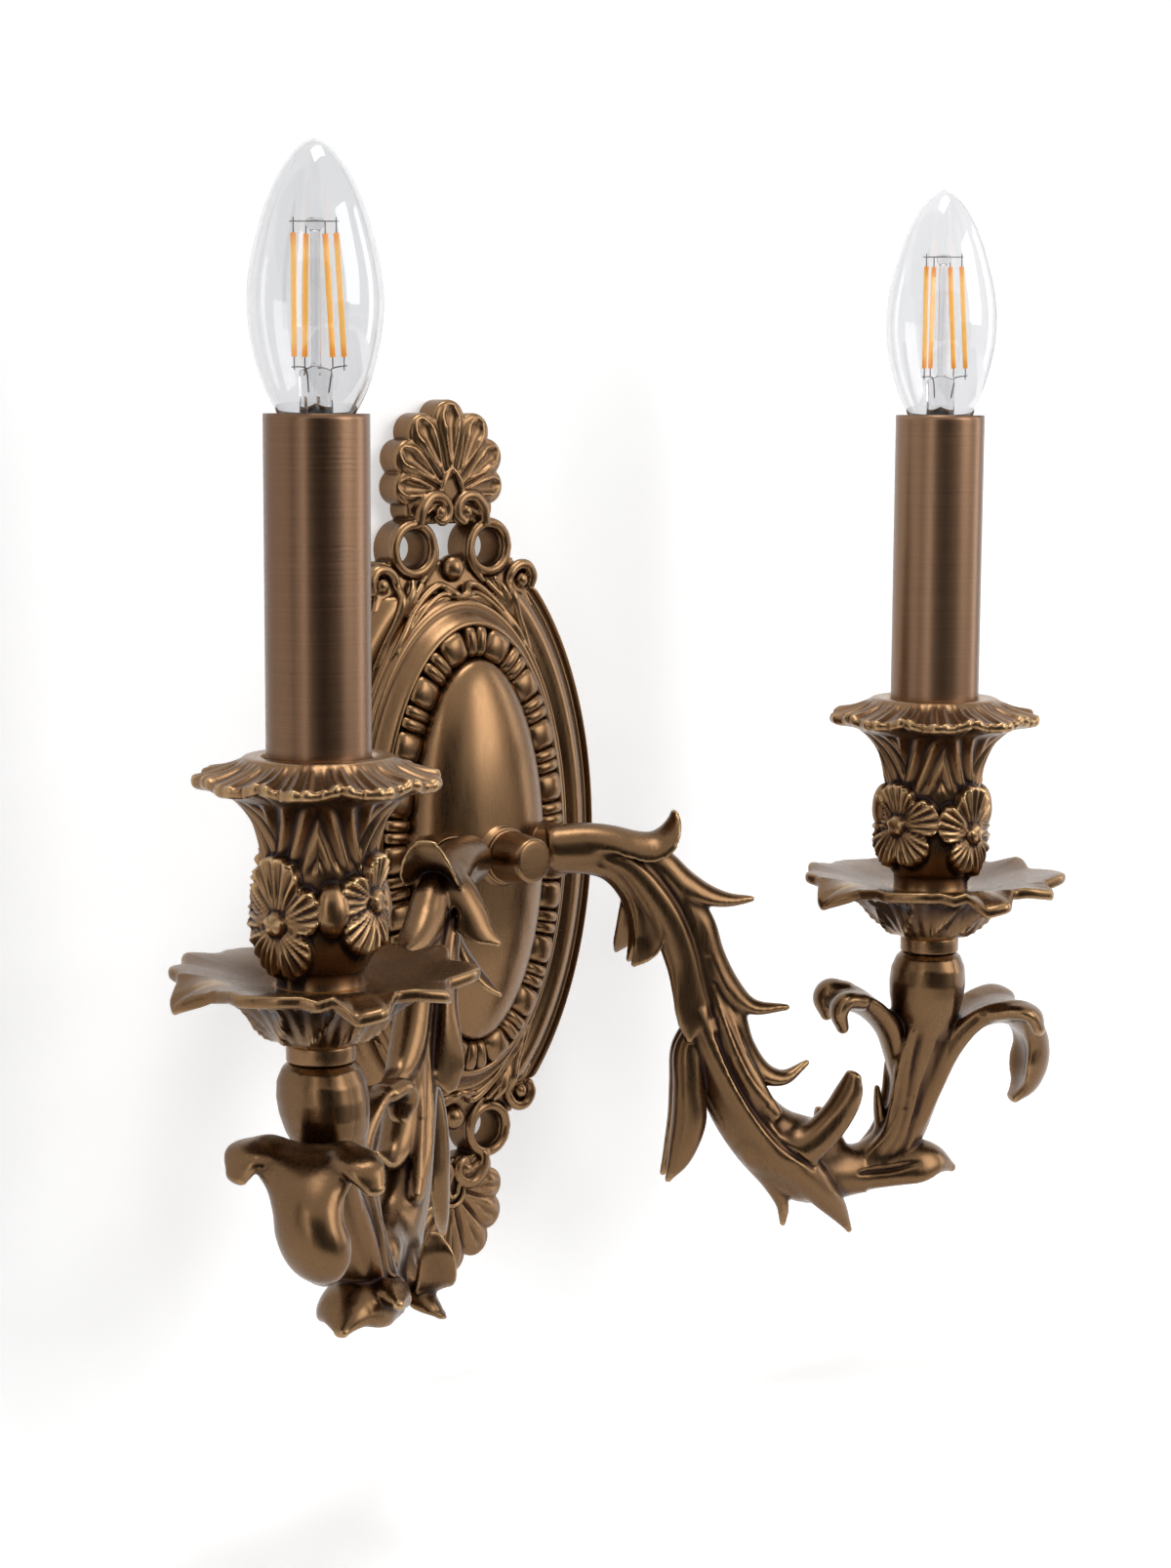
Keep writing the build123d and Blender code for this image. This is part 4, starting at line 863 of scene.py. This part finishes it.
def beadRing():
    grow = Growth("bead ring", beadSizes)
    ring = grow.node("GeometryNodeCurvePrimitiveCircle", {"mode": "RADIUS"}, {"Resolution": 240,
        "Radius": 1.0})
    size = grow.node("ShaderNodeCombineXYZ", None, {0: grow.size("Half width"),
        1: grow.size("Half height"), 2: 1.0})
    ring = grow.node("GeometryNodeTransform", None, {"Geometry": ring, "Scale": size})
    total = grow.maths("MULTIPLY", grow.size("Groups"), 3.0)
    spots = grow.node("GeometryNodePoints", None, {"Count": total})
    index = grow.node("GeometryNodeInputIndex")
    group = grow.maths("FLOOR", grow.maths("DIVIDE", index, 3.0))
    kind = grow.maths("MODULO", index, 3.0)
    shift = grow.node("ShaderNodeMapRange", None, {0: kind, 1: 0.0, 2: 2.0, 3: 0.0, 4: 1.0})
    gap = grow.node("ShaderNodeMapRange", {"interpolation_type": "LINEAR"}, {0: kind, 1: 0.0, 2: 1.0,
        3: 0.0, 4: 0.393})
    more = grow.node("ShaderNodeMapRange", None, {0: kind, 1: 1.0, 2: 2.0, 3: 0.0, 4: 0.214})
    place = grow.maths("ADD", group, grow.maths("ADD", gap, more))
    factor = grow.maths("FRACT", grow.maths("ADD", grow.maths("DIVIDE", place, grow.size("Groups")),
        0.25 + 0.5 / 18))
    sample = grow.tree.nodes.new("GeometryNodeSampleCurve")
    sample.mode = "FACTOR"
    grow.tree.links.new(ring, sample.inputs["Curves"])
    grow.tree.links.new(factor, sample.inputs["Factor"])
    spots = grow.node("GeometryNodeSetPosition", None, {"Geometry": spots,
        "Position": sample.outputs["Position"]})
    turn = grow.node("FunctionNodeAxesToRotation", {"primary_axis": "X", "secondary_axis": "Z"},
                     {"Primary Axis": sample.outputs["Tangent"], "Secondary Axis": (0.0, 0.0, 1.0)})
    single = grow.node("FunctionNodeCompare", {"data_type": "FLOAT", "operation": "LESS_THAN"}, {0: kind,
        1: 0.5})
    shapes = []
    for label in ("Block length", "Bead length"):
        size = grow.node("ShaderNodeCombineXYZ", None, {0: grow.size(label), 1: grow.size("Band"),
            2: grow.size("Rise")})
        cube = grow.node("GeometryNodeMeshCube", None, {"Size": size, "Vertices X": 3, "Vertices Y": 3,
            "Vertices Z": 2})
        crease = 0.12 if label == "Block length" else 0.0
        shapes.append(grow.node("GeometryNodeSubdivisionSurface", None, {"Mesh": cube, "Level": 1,
            "Edge Crease": crease}))
    blocks = grow.node("GeometryNodeInstanceOnPoints", None, {"Points": spots, "Selection": single,
        "Instance": shapes[0], "Rotation": turn})
    beads = grow.node("GeometryNodeInstanceOnPoints", None, {"Points": spots,
        "Selection": grow.node("FunctionNodeBooleanMath", {"operation": "NOT"}, {0: single}),
        "Instance": shapes[1], "Rotation": turn})
    both = grow.node("GeometryNodeJoinGeometry", None, {0: [blocks, beads]})
    up = grow.node("ShaderNodeCombineXYZ", None, {0: 0.0, 1: 0.0, 2: grow.size("Depth")})
    both = grow.node("GeometryNodeTransform", None, {"Geometry": both, "Translation": up})
    both = grow.node("GeometryNodeTransform", None, {"Geometry": both, "Rotation": (pi / 2, 0.0, 0.0)})
    piece = grow.grow(emptyCarrier("bead ring"), both, castBrass, "bead_ring")
    tidyMesh(piece, 0.001)
    addWearAndShade(piece, (1.0, 3.0), (0.35, 0.05), 0.42)
    attach(piece, "fixture", "antique_brass")
    print("bead ring:", len(piece.data.polygons), "faces")


beadRing()

# collars of the arms: (radius, level along the collar's axis), level 0 is the face at the arm
collarSizes = {"x": 21.9, "y": -37.9, "lean": 20.0}
collarProfile = rows("5.2 -0.6, 7.4 -0.6, 7.9 0, 8.2 -0.1, 8.4 -0.5, 8.3 -1, 8.1 -1.4, 8.05 -4, 8.1 -7, "
                     "8.4 -8.8, 9 -10.2, 10.2 -12, 12 -13.8, 12 -17, 5.2 -17")
for side, turn in sides.items():
    lean = radians(collarSizes["lean"])
    collar = turned(f"collar_flare_{side}", rounded(collarProfile, 0.25), (turn * collarSizes["x"],
        collarSizes["y"], 0), turnedBrass, ((0.7, 2.0), (0.7, 0.2)),
                    axis=(turn * sin(lean), -cos(lean), 0))
    attach(collar, "fixture", "antique_brass", f"collar_{side}")

# cap nut in the middle and its washer: (radius, depth)
knobProfile = rows("0 47.2, 3.2 47.2, 3.2 37.5, 7.5 37.5, 7.9 37.8, 8 38.4, 7.85 39.4, 7.4 44, "
                   "6.95 48.2, 6.75 48.9, 6.2 49.4, 5.6 49.55, 4 49.65, 0 49.7")
washerProfile = rows("3.2 36.3, 8 36.3, 8.3 36.6, 8.3 37.2, 8 37.5, 3.2 37.5")
seatProfile = rows("3.4 33, 10.4 33, 9.8 34.6, 9 35.6, 8.8 36.1, 8.5 36.3, 3.4 36.3")
for name, profile, body, node in (("knob_turned", knobProfile, "cap_nut", "finial_nut"), ("knob_flange",
        washerProfile, "cap_nut_washer", "finial_washer"), ("knob_seat", seatProfile, "fixture", "")):
    piece = turned(name, rounded(profile, 0.3), (0, 0, 0), turnedBrass, ((0.6, 1.6), (0.8, 0.3)), axis=(0,
        -1, 0))
    attach(piece, body, "antique_brass", *([node] if node else []))
print("knob and collars ready")

# candles: neck ring, drip pan, cup, sleeve and bulb, heights and radii in mm
candleSizes = {"x": 120.0, "y": -102.6}
neckProfile = rows("4.6 -34.3, 8.9 -34.3, 9.2 -34, 9.2 -30.2, 9 -29.7, 8.8 -29.5, 8.8 -29.2, 4.6 -29.2")

# drip pan: leafy edge with angles from the direction of the camera
panSizes = {"facing": -131.75, "columns": 400, "edge": [(-90, 41, 0), (-78, 38, 0), (-62, 42, -5.5), (-48,
    36.5, -1), (-35, 37.5, 0), (-28, 39.5, -0.5), (-8, 39.5, 0), (-2, 38, 0), (4, 40, -1),
            (10, 38.5, 0), (18, 42, -4.5), (30, 42.5, -3), (36, 37, 0), (44, 40, 0), (58, 43, -2), (66,
                37.5, 0), (82, 42.5, 0.5), (100, 41, 0), (112, 37.5, 0), (128, 41, 1.5), (140, 36.5, 0),
            (150, 40, 0), (170, 38, 1), (190, 41, 0), (205, 37.5, 0), (222, 41.5, -1), (235, 38, 0), (250,
                41, 1), (262, 38.5, 0), (270, 41, 0)]}
panProfile = rows("4.7 -29.2, 10.2 -29.2, 11.8 -28.9, 13.4 -28.2, 15.2 -27, 17 -25.4, 18.8 -23.4, "
                  "20.6 -21.2, 22.4 -19.2, 24.4 -17.4, 26.6 -16, 29 -15, 31.5 -14.3, 34 -13.8, "
                  "36.6 -13.4, 39 -13.1, 40.7 -12.9, 41.3 -12.4, 41.5 -11.6, 41.5 -10.6, 41.2 -9.9, "
                  "40.5 -9.6, 38.5 -9.7, 36 -10, 33 -10.4, 29 -11, 24 -12, 18 -13.2, 13 -13.9, "
                  "11.6 -14, 4.7 -14")


def panBend(radius, level, angle):
    table = np.array(panSizes["edge"], float)
    phi = (np.degrees(angle) - panSizes["facing"] + 90) % 360 - 90
    edge = sum(share * np.interp((phi + off + 90) % 360 - 90, table[:, 0], table[:, 1]) for off,
        share in ((-3.5, 0.25), (-1.2, 0.25), (1.2, 0.25), (3.5, 0.25)))
    drop = np.interp(phi, table[:, 0], table[:, 2])
    near = np.clip((radius - 17) / 24, 0, 1)
    vein = 1.0 - 2.4 * np.abs(np.sin(np.radians(phi * 5.5 + 75
        * np.sin(radius / 5.5)))) ** 0.6 + 0.14 * np.cos(np.radians(phi * 31 + 40))
    under = (level < -12.6 - 0.05 * (41 - radius)) * np.clip((radius - 11) / 6, 0,
        1) * np.clip((40 - radius) / 6, 0, 1)
    level = level + 1.15 * drop * np.clip((radius - 28) / 13, 0,
        1) ** 1.5 + vein * -1.2 * under + (edge - 39.5) * 0.22 * near
    radius = radius + 1.35 * (edge - 41.6) * near ** 2
    return radius, level


# candle cup: flowers on the body, slanting ribs on the flare, scalloped lip
cupSizes = {"columns": 480, "facing": -131.75, "flowers": {   # angle from the camera, level, size
    "left": ((-39.0, 4.0, 1.1), (70.0, 9.2, 1.0), (158.0, 4.6, 1.08), (236.0, 8.6, 1.0)),
    "right": ((-49.0, 7.2, 1.06), (47.0, 4.6, 1.06), (137.0, 7.0, 1.06), (227.0, 4.6, 1.06))},
    "buds": {"left": ((17.0, 8.0), (110.0, 7.0)), "right": ((-88.0, 12.0), (92.0, 12.0))}}
cupProfile = rows("4.8 -14, 11.3 -14, 11.7 -13.6, 11.7 -10, 12.2 -9.2, 12.9 -8, 13.5 -6.6, 14.1 -4.8, "
                  "14.6 -3, 14.9 -1.4, 15.1 0, 15.2 1.4, 15.3 2.8, 15.3 4.2, 15.3 5.6, 15.2 7, "
                  "15.1 8.4, 15 9.8, 14.9 11.2, 14.8 12.6, 14.8 14, 14.8 15.4, 14.8 16.8, 14.8 18.2, "
                  "14.8 19.6, 14.9 21, 15.1 22.4, 15.4 24, 15.8 25.6, 16.3 27.2, 17 29, 17.9 30.8, "
                  "19 32.4, 20.3 33.9, 21.8 35.2, 23.5 36.3, 25.4 37.2, 27.4 37.8, 29.4 38.2, 31 38.5, "
                  "32 39, 32.5 39.8, 32.6 40.6, 32.3 41.3, 31.6 41.7, 30.2 42, 28.2 42.4, 26 43, "
                  "24 43.7, 22.2 44.5, 20.8 45.4, 19.8 46.2, 19 46.6, 17.5 46.7, 15.4 46.5, 14.5 46, "
                  "14.2 45.2, 14.15 40.2, 13.2 40, 12.5 39.4, 12.3 36, 12.2 24, 11.6 21.2, 10.4 20.1, "
                  "8.2 20, 5.2 20, 4.8 19.6")


def cupBend(radius, level, angle, side):
    phi = np.degrees(angle) - cupSizes["facing"]
    outside = (radius > 11.5) & (level < 38.6) | (radius > 20)
    body = outside & (level > -12) & (level < 36)
    grow = np.zeros(np.broadcast(radius, phi).shape)
    for centre, rise, size in cupSizes["flowers"][side]:
        across = ((phi - centre + 180) % 360 - 180) * pi / 180 * 15.4
        up = level - rise
        rho = np.hypot(across / 13.4, up / 15.0) / size
        theta = np.arctan2(up, across) - pi / 2
        share = (theta * 5 / (2 * pi) + 0.5) % 1 - 0.5                       # place across one petal
        rim = 0.99 - 0.26 * np.abs(2 * share) ** 3.0 - 0.09 * np.sin(theta * 2
            + centre) - 0.07 * np.sin(theta + 2 * centre)
        inside = np.clip((rim - rho) / 0.075, 0, 1)
        inside = inside * inside * (3 - 2 * inside)
        cupped = 0.9 + 2.9 * np.clip(rho / rim, 0,
            1) ** 1.2 - 1.3 * (1 - np.abs(2 * share)) * np.clip(rho - 0.2, 0, 1)
        ribs = 0.46 * np.cos(share * 2 * pi * 5.5) * np.clip((rho - 0.22) * 3, 0, 1)
        seam = -0.9 * np.clip(1 - (0.5 - np.abs(share)) * rho * 11, 0, 1)
        heart = np.sqrt(np.maximum(1 - (np.hypot(across, up) / 3.3) ** 2, 0))
        grow = np.where(body, np.maximum(grow, inside * np.maximum(cupped + ribs + seam,
            0.25) + heart * 2.6), grow)
    for centre, rise in cupSizes["buds"][side]:
        across = ((phi - centre + 180) % 360 - 180) * pi / 180 * 15.4
        swell = np.maximum(1 - (across / 4.6) ** 2 - ((level - rise) / 7.4) ** 2, 0) ** 0.5
        grow = np.where(body, np.maximum(grow, 4.2 * swell), grow)
    between = (phi + 86) % 90 - 45                     # 0 in the middle of the front
    slant = np.cos(np.radians(np.abs(between) * 22 - (level - 20) * 34))
    lift = np.clip((level - 17) / 4, 0, 1) * np.clip((37.8 - level) / 3, 0, 1)
    grow = grow + np.where(body, 0.62 * slant * lift * (grow < 0.2), 0)
    stem = np.clip(1 - np.abs(between) / 3.2, 0, 1) * np.clip((level + 8) / 6, 0,
        1) * np.clip((24 - level) / 6, 0, 1)
    grow = grow + np.where(body, 0.9 * stem * (grow < 0.2), 0)
    lip = np.clip((radius - 21) / 9, 0, 1)
    wave = np.abs(np.cos(np.radians(phi * 4.5 + 20)))
    lobe = np.abs(np.cos(np.radians(phi * 9 + 35)))
    small = np.cos(np.radians(phi * 54))
    new = radius + grow + lip ** 2 * (-2.0 * (1 - wave ** 0.8) - 1.9 * (1 - lobe ** 0.6) + 0.16 * small + 0.5)
    level = level + np.where((level > 41.0) & (radius > 19.8),
        (0.26 * small + 0.9 * (lobe ** 0.7 - 0.7)) * np.clip((radius - 19.8) / 3, 0, 1), 0)
    level = level + np.where((level > 30) & (level <= 41.0) & (radius > 22), 0.4 * (lobe - 0.6) * lip,
        0) - 1.3 * lip ** 2 * (wave - 0.6)
    return new, level


# candle sleeve: a wall profile swept round a circle
sleeveSizes = {"Radius": 13.15 * mm, "Wall": 1.2 * mm, "Foot": 40.0 * mm, "Height": 95.0 * mm, "Around": 128}


def sleeve(side):
    grow = Growth(f"sleeve {side}", sleeveSizes)
    ring = grow.node("GeometryNodeCurvePrimitiveCircle", {"mode": "RADIUS"},
        {"Resolution": grow.size("Around"), "Radius": grow.size("Radius")})
    wall = grow.node("GeometryNodeCurvePrimitiveQuadrilateral", None, {"Width": grow.size("Wall"),
        "Height": grow.size("Height")})
    wall = grow.node("GeometryNodeResampleCurve", None,
        {"Curve": grow.node("GeometryNodeFilletCurve", {"mode": "POLY"}, {"Curve": wall,
        "Radius": 0.35 * mm, "Count": 3}), "Count": 120})
    tube = grow.node("GeometryNodeCurveToMesh", None, {"Curve": ring, "Profile Curve": wall})
    rise = grow.maths("ADD", grow.size("Foot"), grow.maths("DIVIDE", grow.size("Height"), 2.0))
    place = grow.node("ShaderNodeCombineXYZ", None, {0: sides[side] * candleSizes["x"] * mm,
        1: candleSizes["y"] * mm, 2: rise})
    tube = grow.node("GeometryNodeTransform", None, {"Geometry": tube, "Translation": place})
    piece = grow.grow(emptyCarrier("sleeve"), tube, sleeveBrass, f"sleeve_tube_{side}")
    tidyMesh(piece, 0.001)
    attach(piece, f"sleeve_{side}", "sleeve_brass", f"candle_sleeve_{side}")


# thin things in the bulb: paths that become round wires
def wires(name, paths, radii, material):
    carrier = emptyCarrier(name)
    points, edges, wide = [], [], []
    for path, radius in zip(paths, radii):
        line = smoothLine(path, 5)
        edges += [(len(points) + k, len(points) + k + 1) for k in range(len(line) - 1)]
        points += [tuple(p * mm) for p in line]
        wide += [radius * mm] * len(line)
    carrier.data.from_pydata(points, edges, [])
    carrier.data.attributes.new("wide", "FLOAT", "POINT").data.foreach_set("value", wide)
    grow = Growth(name, {"Sides": 12})
    line = grow.node("GeometryNodeMeshToCurve", None, {0: grow.start.outputs["Geometry"]})
    width = grow.node("GeometryNodeInputNamedAttribute", {"data_type": "FLOAT"}, {"Name": "wide"})
    ring = grow.node("GeometryNodeCurvePrimitiveCircle", {"mode": "RADIUS"},
        {"Resolution": grow.size("Sides"), "Radius": 1.0})
    tube = grow.node("GeometryNodeCurveToMesh", None, {"Curve": line, "Profile Curve": ring,
        "Scale": width, "Fill Caps": True})
    piece = grow.grow(carrier, tube, material, name)
    tidyMesh(piece, 0.0005)
    return piece


bulbSizes = {"low": 149.0, "high": 180.0, "wall": 0.55, "rod": 0.75, "wire": 0.17}
glassProfile = rows("6.3 121, 6.7 124, 6.9 127.5, 7.4 129.6, 8.6 132.2, 10.4 135.2, 12.2 138.6, "
                    "13.8 142.4, 15.2 146.8, 16.3 151.4, 17.1 156, 17.5 160.6, 17.5 164.8, 17.2 169, "
                    "16.5 173.4, 15.5 177.8, 14.3 182.2, 13 186.4, 11.5 190.2, 9.9 193.6, 8.2 196.6, "
                    "6.5 199, 4.8 201, 3 202.5, 1.4 203.3, 0 203.5")


def bulb(side):
    x, y = sides[side] * candleSizes["x"], candleSizes["y"]
    outer = smoothLine(glassProfile, 3)
    slope = np.gradient(outer, axis=0)
    slope /= np.linalg.norm(slope, axis=1)[:, None]
    inner = outer + bulbSizes["wall"] * np.stack([-slope[:, 1], slope[:, 0]], 1)
    inner[-1, 0] = 0
    inner[:, 0] = np.maximum(inner[:, 0], 0)
    shell = np.vstack([inner[::-1], outer])
    glass = turned(f"bulb_shell_{side}", shell, (x, y, 0), clearGlass, ((1.0,), (0.1,)), columns=112)
    attach(glass, f"bulb_{side}_glass", "clear_glass", f"bulb_glass_{side}")
    ahead = np.array([cos(radians(cupSizes["facing"])), sin(radians(cupSizes["facing"]))])
    across = np.array([-ahead[1], ahead[0]])              # to the right in the picture

    def at(right, front, level):
        spot = right * across + front * ahead
        return (x + spot[0], y + spot[1], level)

    low, high = bulbSizes["low"], bulbSizes["high"]
    rods = [[at(-5.4, 1.5, low), at(-5.4, 1.5, high)], [at(-3.1, -2.5, low), at(-2.6, -2.5, high)],
        [at(4.1, -2.0, low), at(2.4, -2.0, high)], [at(7.3, 1.5, low), at(5.5, 1.5, high)]]
    # filament rods with the painted glow of the filament material
    glow = wires(f"glow_rods_{side}", rods, [bulbSizes["rod"]] * 4, filamentMaterial)
    attach(glow, f"bulb_{side}_glass", "filament", f"filaments_{side}")
    thin = [[(*rod[0][:2], low + 0.5), (*rod[0][:2], low - 2.6 - 0.8 * (k % 3 == 0))] for k,
        rod in enumerate(rods)]
    thin += [[(*rod[1][:2], high - 0.5), (*rod[1][:2], high + 3.0 + 0.9 * (k % 3 == 0))] for k,
        rod in enumerate(rods)]
    thin.append([at(-6.4, 1.5, high + 2.9), at(-2.6, 1.2, high + 2.9), at(2.4, 1.2, high + 2.9), at(6.2,
        1.5, high + 2.9)])
    thin.append([at(-6.1, 1.5, low - 2.6), at(-3.3, 0.4, low - 2.6), at(-2.3, 0, low - 3.6), at(-1.9, 0,
        low - 9)])
    thin.append([at(8.0, 1.5, low - 2.2), at(4.8, 0.4, low - 2.7), at(3.7, 0, low - 3.8), at(2.9, 0,
        low - 9)])
    fine = wires(f"bulb_leads_{side}", thin, [bulbSizes["wire"]] * len(thin), wireMaterial)
    attach(fine, f"bulb_{side}_glass", "wire", f"bulb_wires_{side}")
    stem = [(0, 119.2), (5.2, 119.2), (5.0, 121), (4.6, 126), (4.4, 134), (4.2, 139), (4.3, 142.4), (4.4,
        144.2), (4.1, 145.6), (2.6, 146.2), (1.5, 146.5), (1.25, 147.4), (1.2, 160), (1.2, 180.2), (1.5,
        181),
            (2.3, 181.5), (2.45, 182.4), (2.4, 183.2), (2.0, 183.8), (0, 184.0)]

    def pinch(radius, level, angle):
        flat = 0.62 * np.clip((level - 130) / 8, 0, 1) * np.clip((147 - level) / 1.5, 0, 1)
        return radius * (1 - flat * np.cos(angle - radians(cupSizes["facing"])) ** 2), level

    core = turned(f"bulb_mount_{side}", rounded(stem, 0.3), (x, y, 0), clearGlass, ((1.0,), (0.1,)),
        columns=48, bend=pinch)
    attach(core, f"bulb_{side}_glass", "clear_glass", f"bulb_stem_{side}")


def candle(side):
    x, y = sides[side] * candleSizes["x"], candleSizes["y"]
    ring = turned(f"neck_collar_{side}", rounded(neckProfile, 0.25), (x, y, 0), turnedBrass, ((0.6, 1.5),
        (0.7, 0.3)))
    attach(ring, "fixture", "antique_brass", f"neck_ring_{side}")
    pan = turned(f"drip_dish_{side}", panProfile, (x, y, 0), shadedArmBrass, ((1.0, 2.6), (0.6, 0.2)),
        columns=panSizes["columns"], bend=panBend)
    attach(pan, "fixture", "antique_brass", f"drip_pan_{side}")
    cup = turned(f"flower_cup_{side}", smoothLine(cupProfile, 2), (x, y, 0), castBrass, ((0.7, 1.8, 4.0),
        (0.75, 0.35, 0.06)), columns=cupSizes["columns"], bend=lambda *grid: cupBend(*grid, side))
    attach(cup, "fixture", "antique_brass", f"candle_cup_{side}")
    sleeve(side)
    bulb(side)
    print("candle", side, "cup", len(cup.data.polygons), "faces")


for side in sides:
    candle(side)
print("candles ready")

# carried-over CAD nodes take a material made for their slot
slotOf = {entry["node"]: entry["material_slot"] for entry in frame["record"]["subparts"]}
for name, part in nodes.items():
    part.data.materials.clear()
    part.data.materials.append(nodeLooks[slotOf[name]])
print("node materials ready")

# room, lamps and camera
viewSizes = {"spot": (-563.567, -703.627, 136.738), "azimuth": 41.754, "down": 7.461, "roll": 0.005,
    "lens": 66.18, "floor": -176.0}


def seenRays(recipe):      # 1 for what the camera sees, straight, mirrored or through glass
    flags = recipe.node("ShaderNodeLightPath").socket.node.outputs
    camera, glossy, through = (Wire(recipe, flags[f"Is {kind} Ray"]) for kind in ("Camera", "Glossy",
        "Transmission"))
    total = camera + glossy + through
    return total.maths("MINIMUM", total, 1.0)


def plainRoom():
    paper = Recipe("paper")
    back = Wire(paper, paper.tree.nodes.new("ShaderNodeNewGeometry").outputs["Backfacing"])
    lit = paper.node("ShaderNodeBsdfDiffuse", None, {"Color": (0.9, 0.9, 0.9, 1)})
    glow = paper.node("ShaderNodeEmission", None, {"Color": (1, 1, 1, 1), "Strength": seenRays(paper) * 0.42})
    both = paper.node("ShaderNodeAddShader", None, {0: lit, 1: glow})
    clear = paper.node("ShaderNodeBsdfTransparent")
    paper.finish(paper.node("ShaderNodeMixShader", None, {0: back, 1: both, 2: clear}))
    low = viewSizes["floor"]
    corners = {"wall_paper": [(-3000, 1, low), (3000, 1, low), (3000, 1, 3000), (-3000, 1, 3000)],
               "floor_paper": [(-3000, -3000, low), (3000, -3000, low), (3000, 1, low), (-3000, 1, low)]}
    sheets = [meshPiece(name, points, [[(0, 1, 2, 3)]], paper.material, smooth=False) for name,
        points in corners.items()]
    sky = Recipe("studio", "worlds")
    light = sky.node("ShaderNodeBackground", None, {0: (1, 1, 1, 1), 1: 0.3 + 0.7 * seenRays(sky)})
    sky.node("ShaderNodeOutputWorld", None, {0: light})
    bpy.context.scene.world = sky.material


def aim(obj, spot, target):
    obj.location = Vector(spot) * mm
    obj.rotation_euler = (Vector(target) - Vector(spot)).to_track_quat("-Z", "Y").to_euler()


def softLamp(name, spot, target, width, height, power):
    data = bpy.data.lights.new(name, "AREA")
    data.shape = "RECTANGLE"
    data.size, data.size_y, data.energy = width * mm, height * mm, power
    lamp = bpy.data.objects.new(name, data)
    bpy.context.scene.collection.objects.link(lamp)
    aim(lamp, spot, target)


def darkCard(name, spot, target, width, height):
    corners = [(a * width / 2, b * height / 2, 0) for a, b in ((-1, -1), (1, -1), (1, 1), (-1, 1))]
    card = meshPiece(name, corners, [[(0, 1, 2, 3)]], nodeLooks["black_plastic"], smooth=False)
    aim(card, spot, target)
    card.visible_camera = False
    card.visible_shadow = False


def camera():
    data = bpy.data.cameras.new("camera")
    data.lens, data.sensor_width, data.sensor_fit = viewSizes["lens"], 36.0, "AUTO"
    data.clip_start, data.clip_end = 0.01, 20
    eye = bpy.data.objects.new("camera", data)
    bpy.context.scene.collection.objects.link(eye)
    turn, down = radians(viewSizes["azimuth"]), radians(viewSizes["down"])
    ahead = Vector((sin(turn) * cos(down), cos(turn) * cos(down), -sin(down)))
    eye.rotation_euler = (ahead.to_track_quat("-Z", "Y").to_matrix() @ Matrix.Rotation(viewSizes["roll"],
        3, "Z")).to_euler()
    eye.location = Vector(viewSizes["spot"]) * mm
    bpy.context.scene.camera = eye


plainRoom()
softLamp("key", (700, -1500, 700), (0, -60, 0), 850, 1150, 11.5)
softLamp("left", (-1400, -700, 300), (0, -60, 0), 220, 1400, 3)
softLamp("top", (0, -200, 1300), (0, -130, -100), 650, 400, 6.5)
darkCard("card_back", (-1050, -1300, 0), (0, -60, 0), 1900, 1700)
darkCard("card_left", (-1500, 100, 100), (0, -60, 0), 600, 2400)
darkCard("card_right", (1500, 150, 100), (0, -60, 0), 500, 2400)
softLamp("right", (1350, -620, 260), (0, -60, 0), 320, 1300, 4)
darkCard("card_front", (100, -1500, -150), (0, -60, 0), 700, 700)
darkCard("card_low", (0, -900, -170), (0, -900.1, 0), 1600, 1100)
camera()
bpy.context.scene.view_settings.view_transform = "Standard"
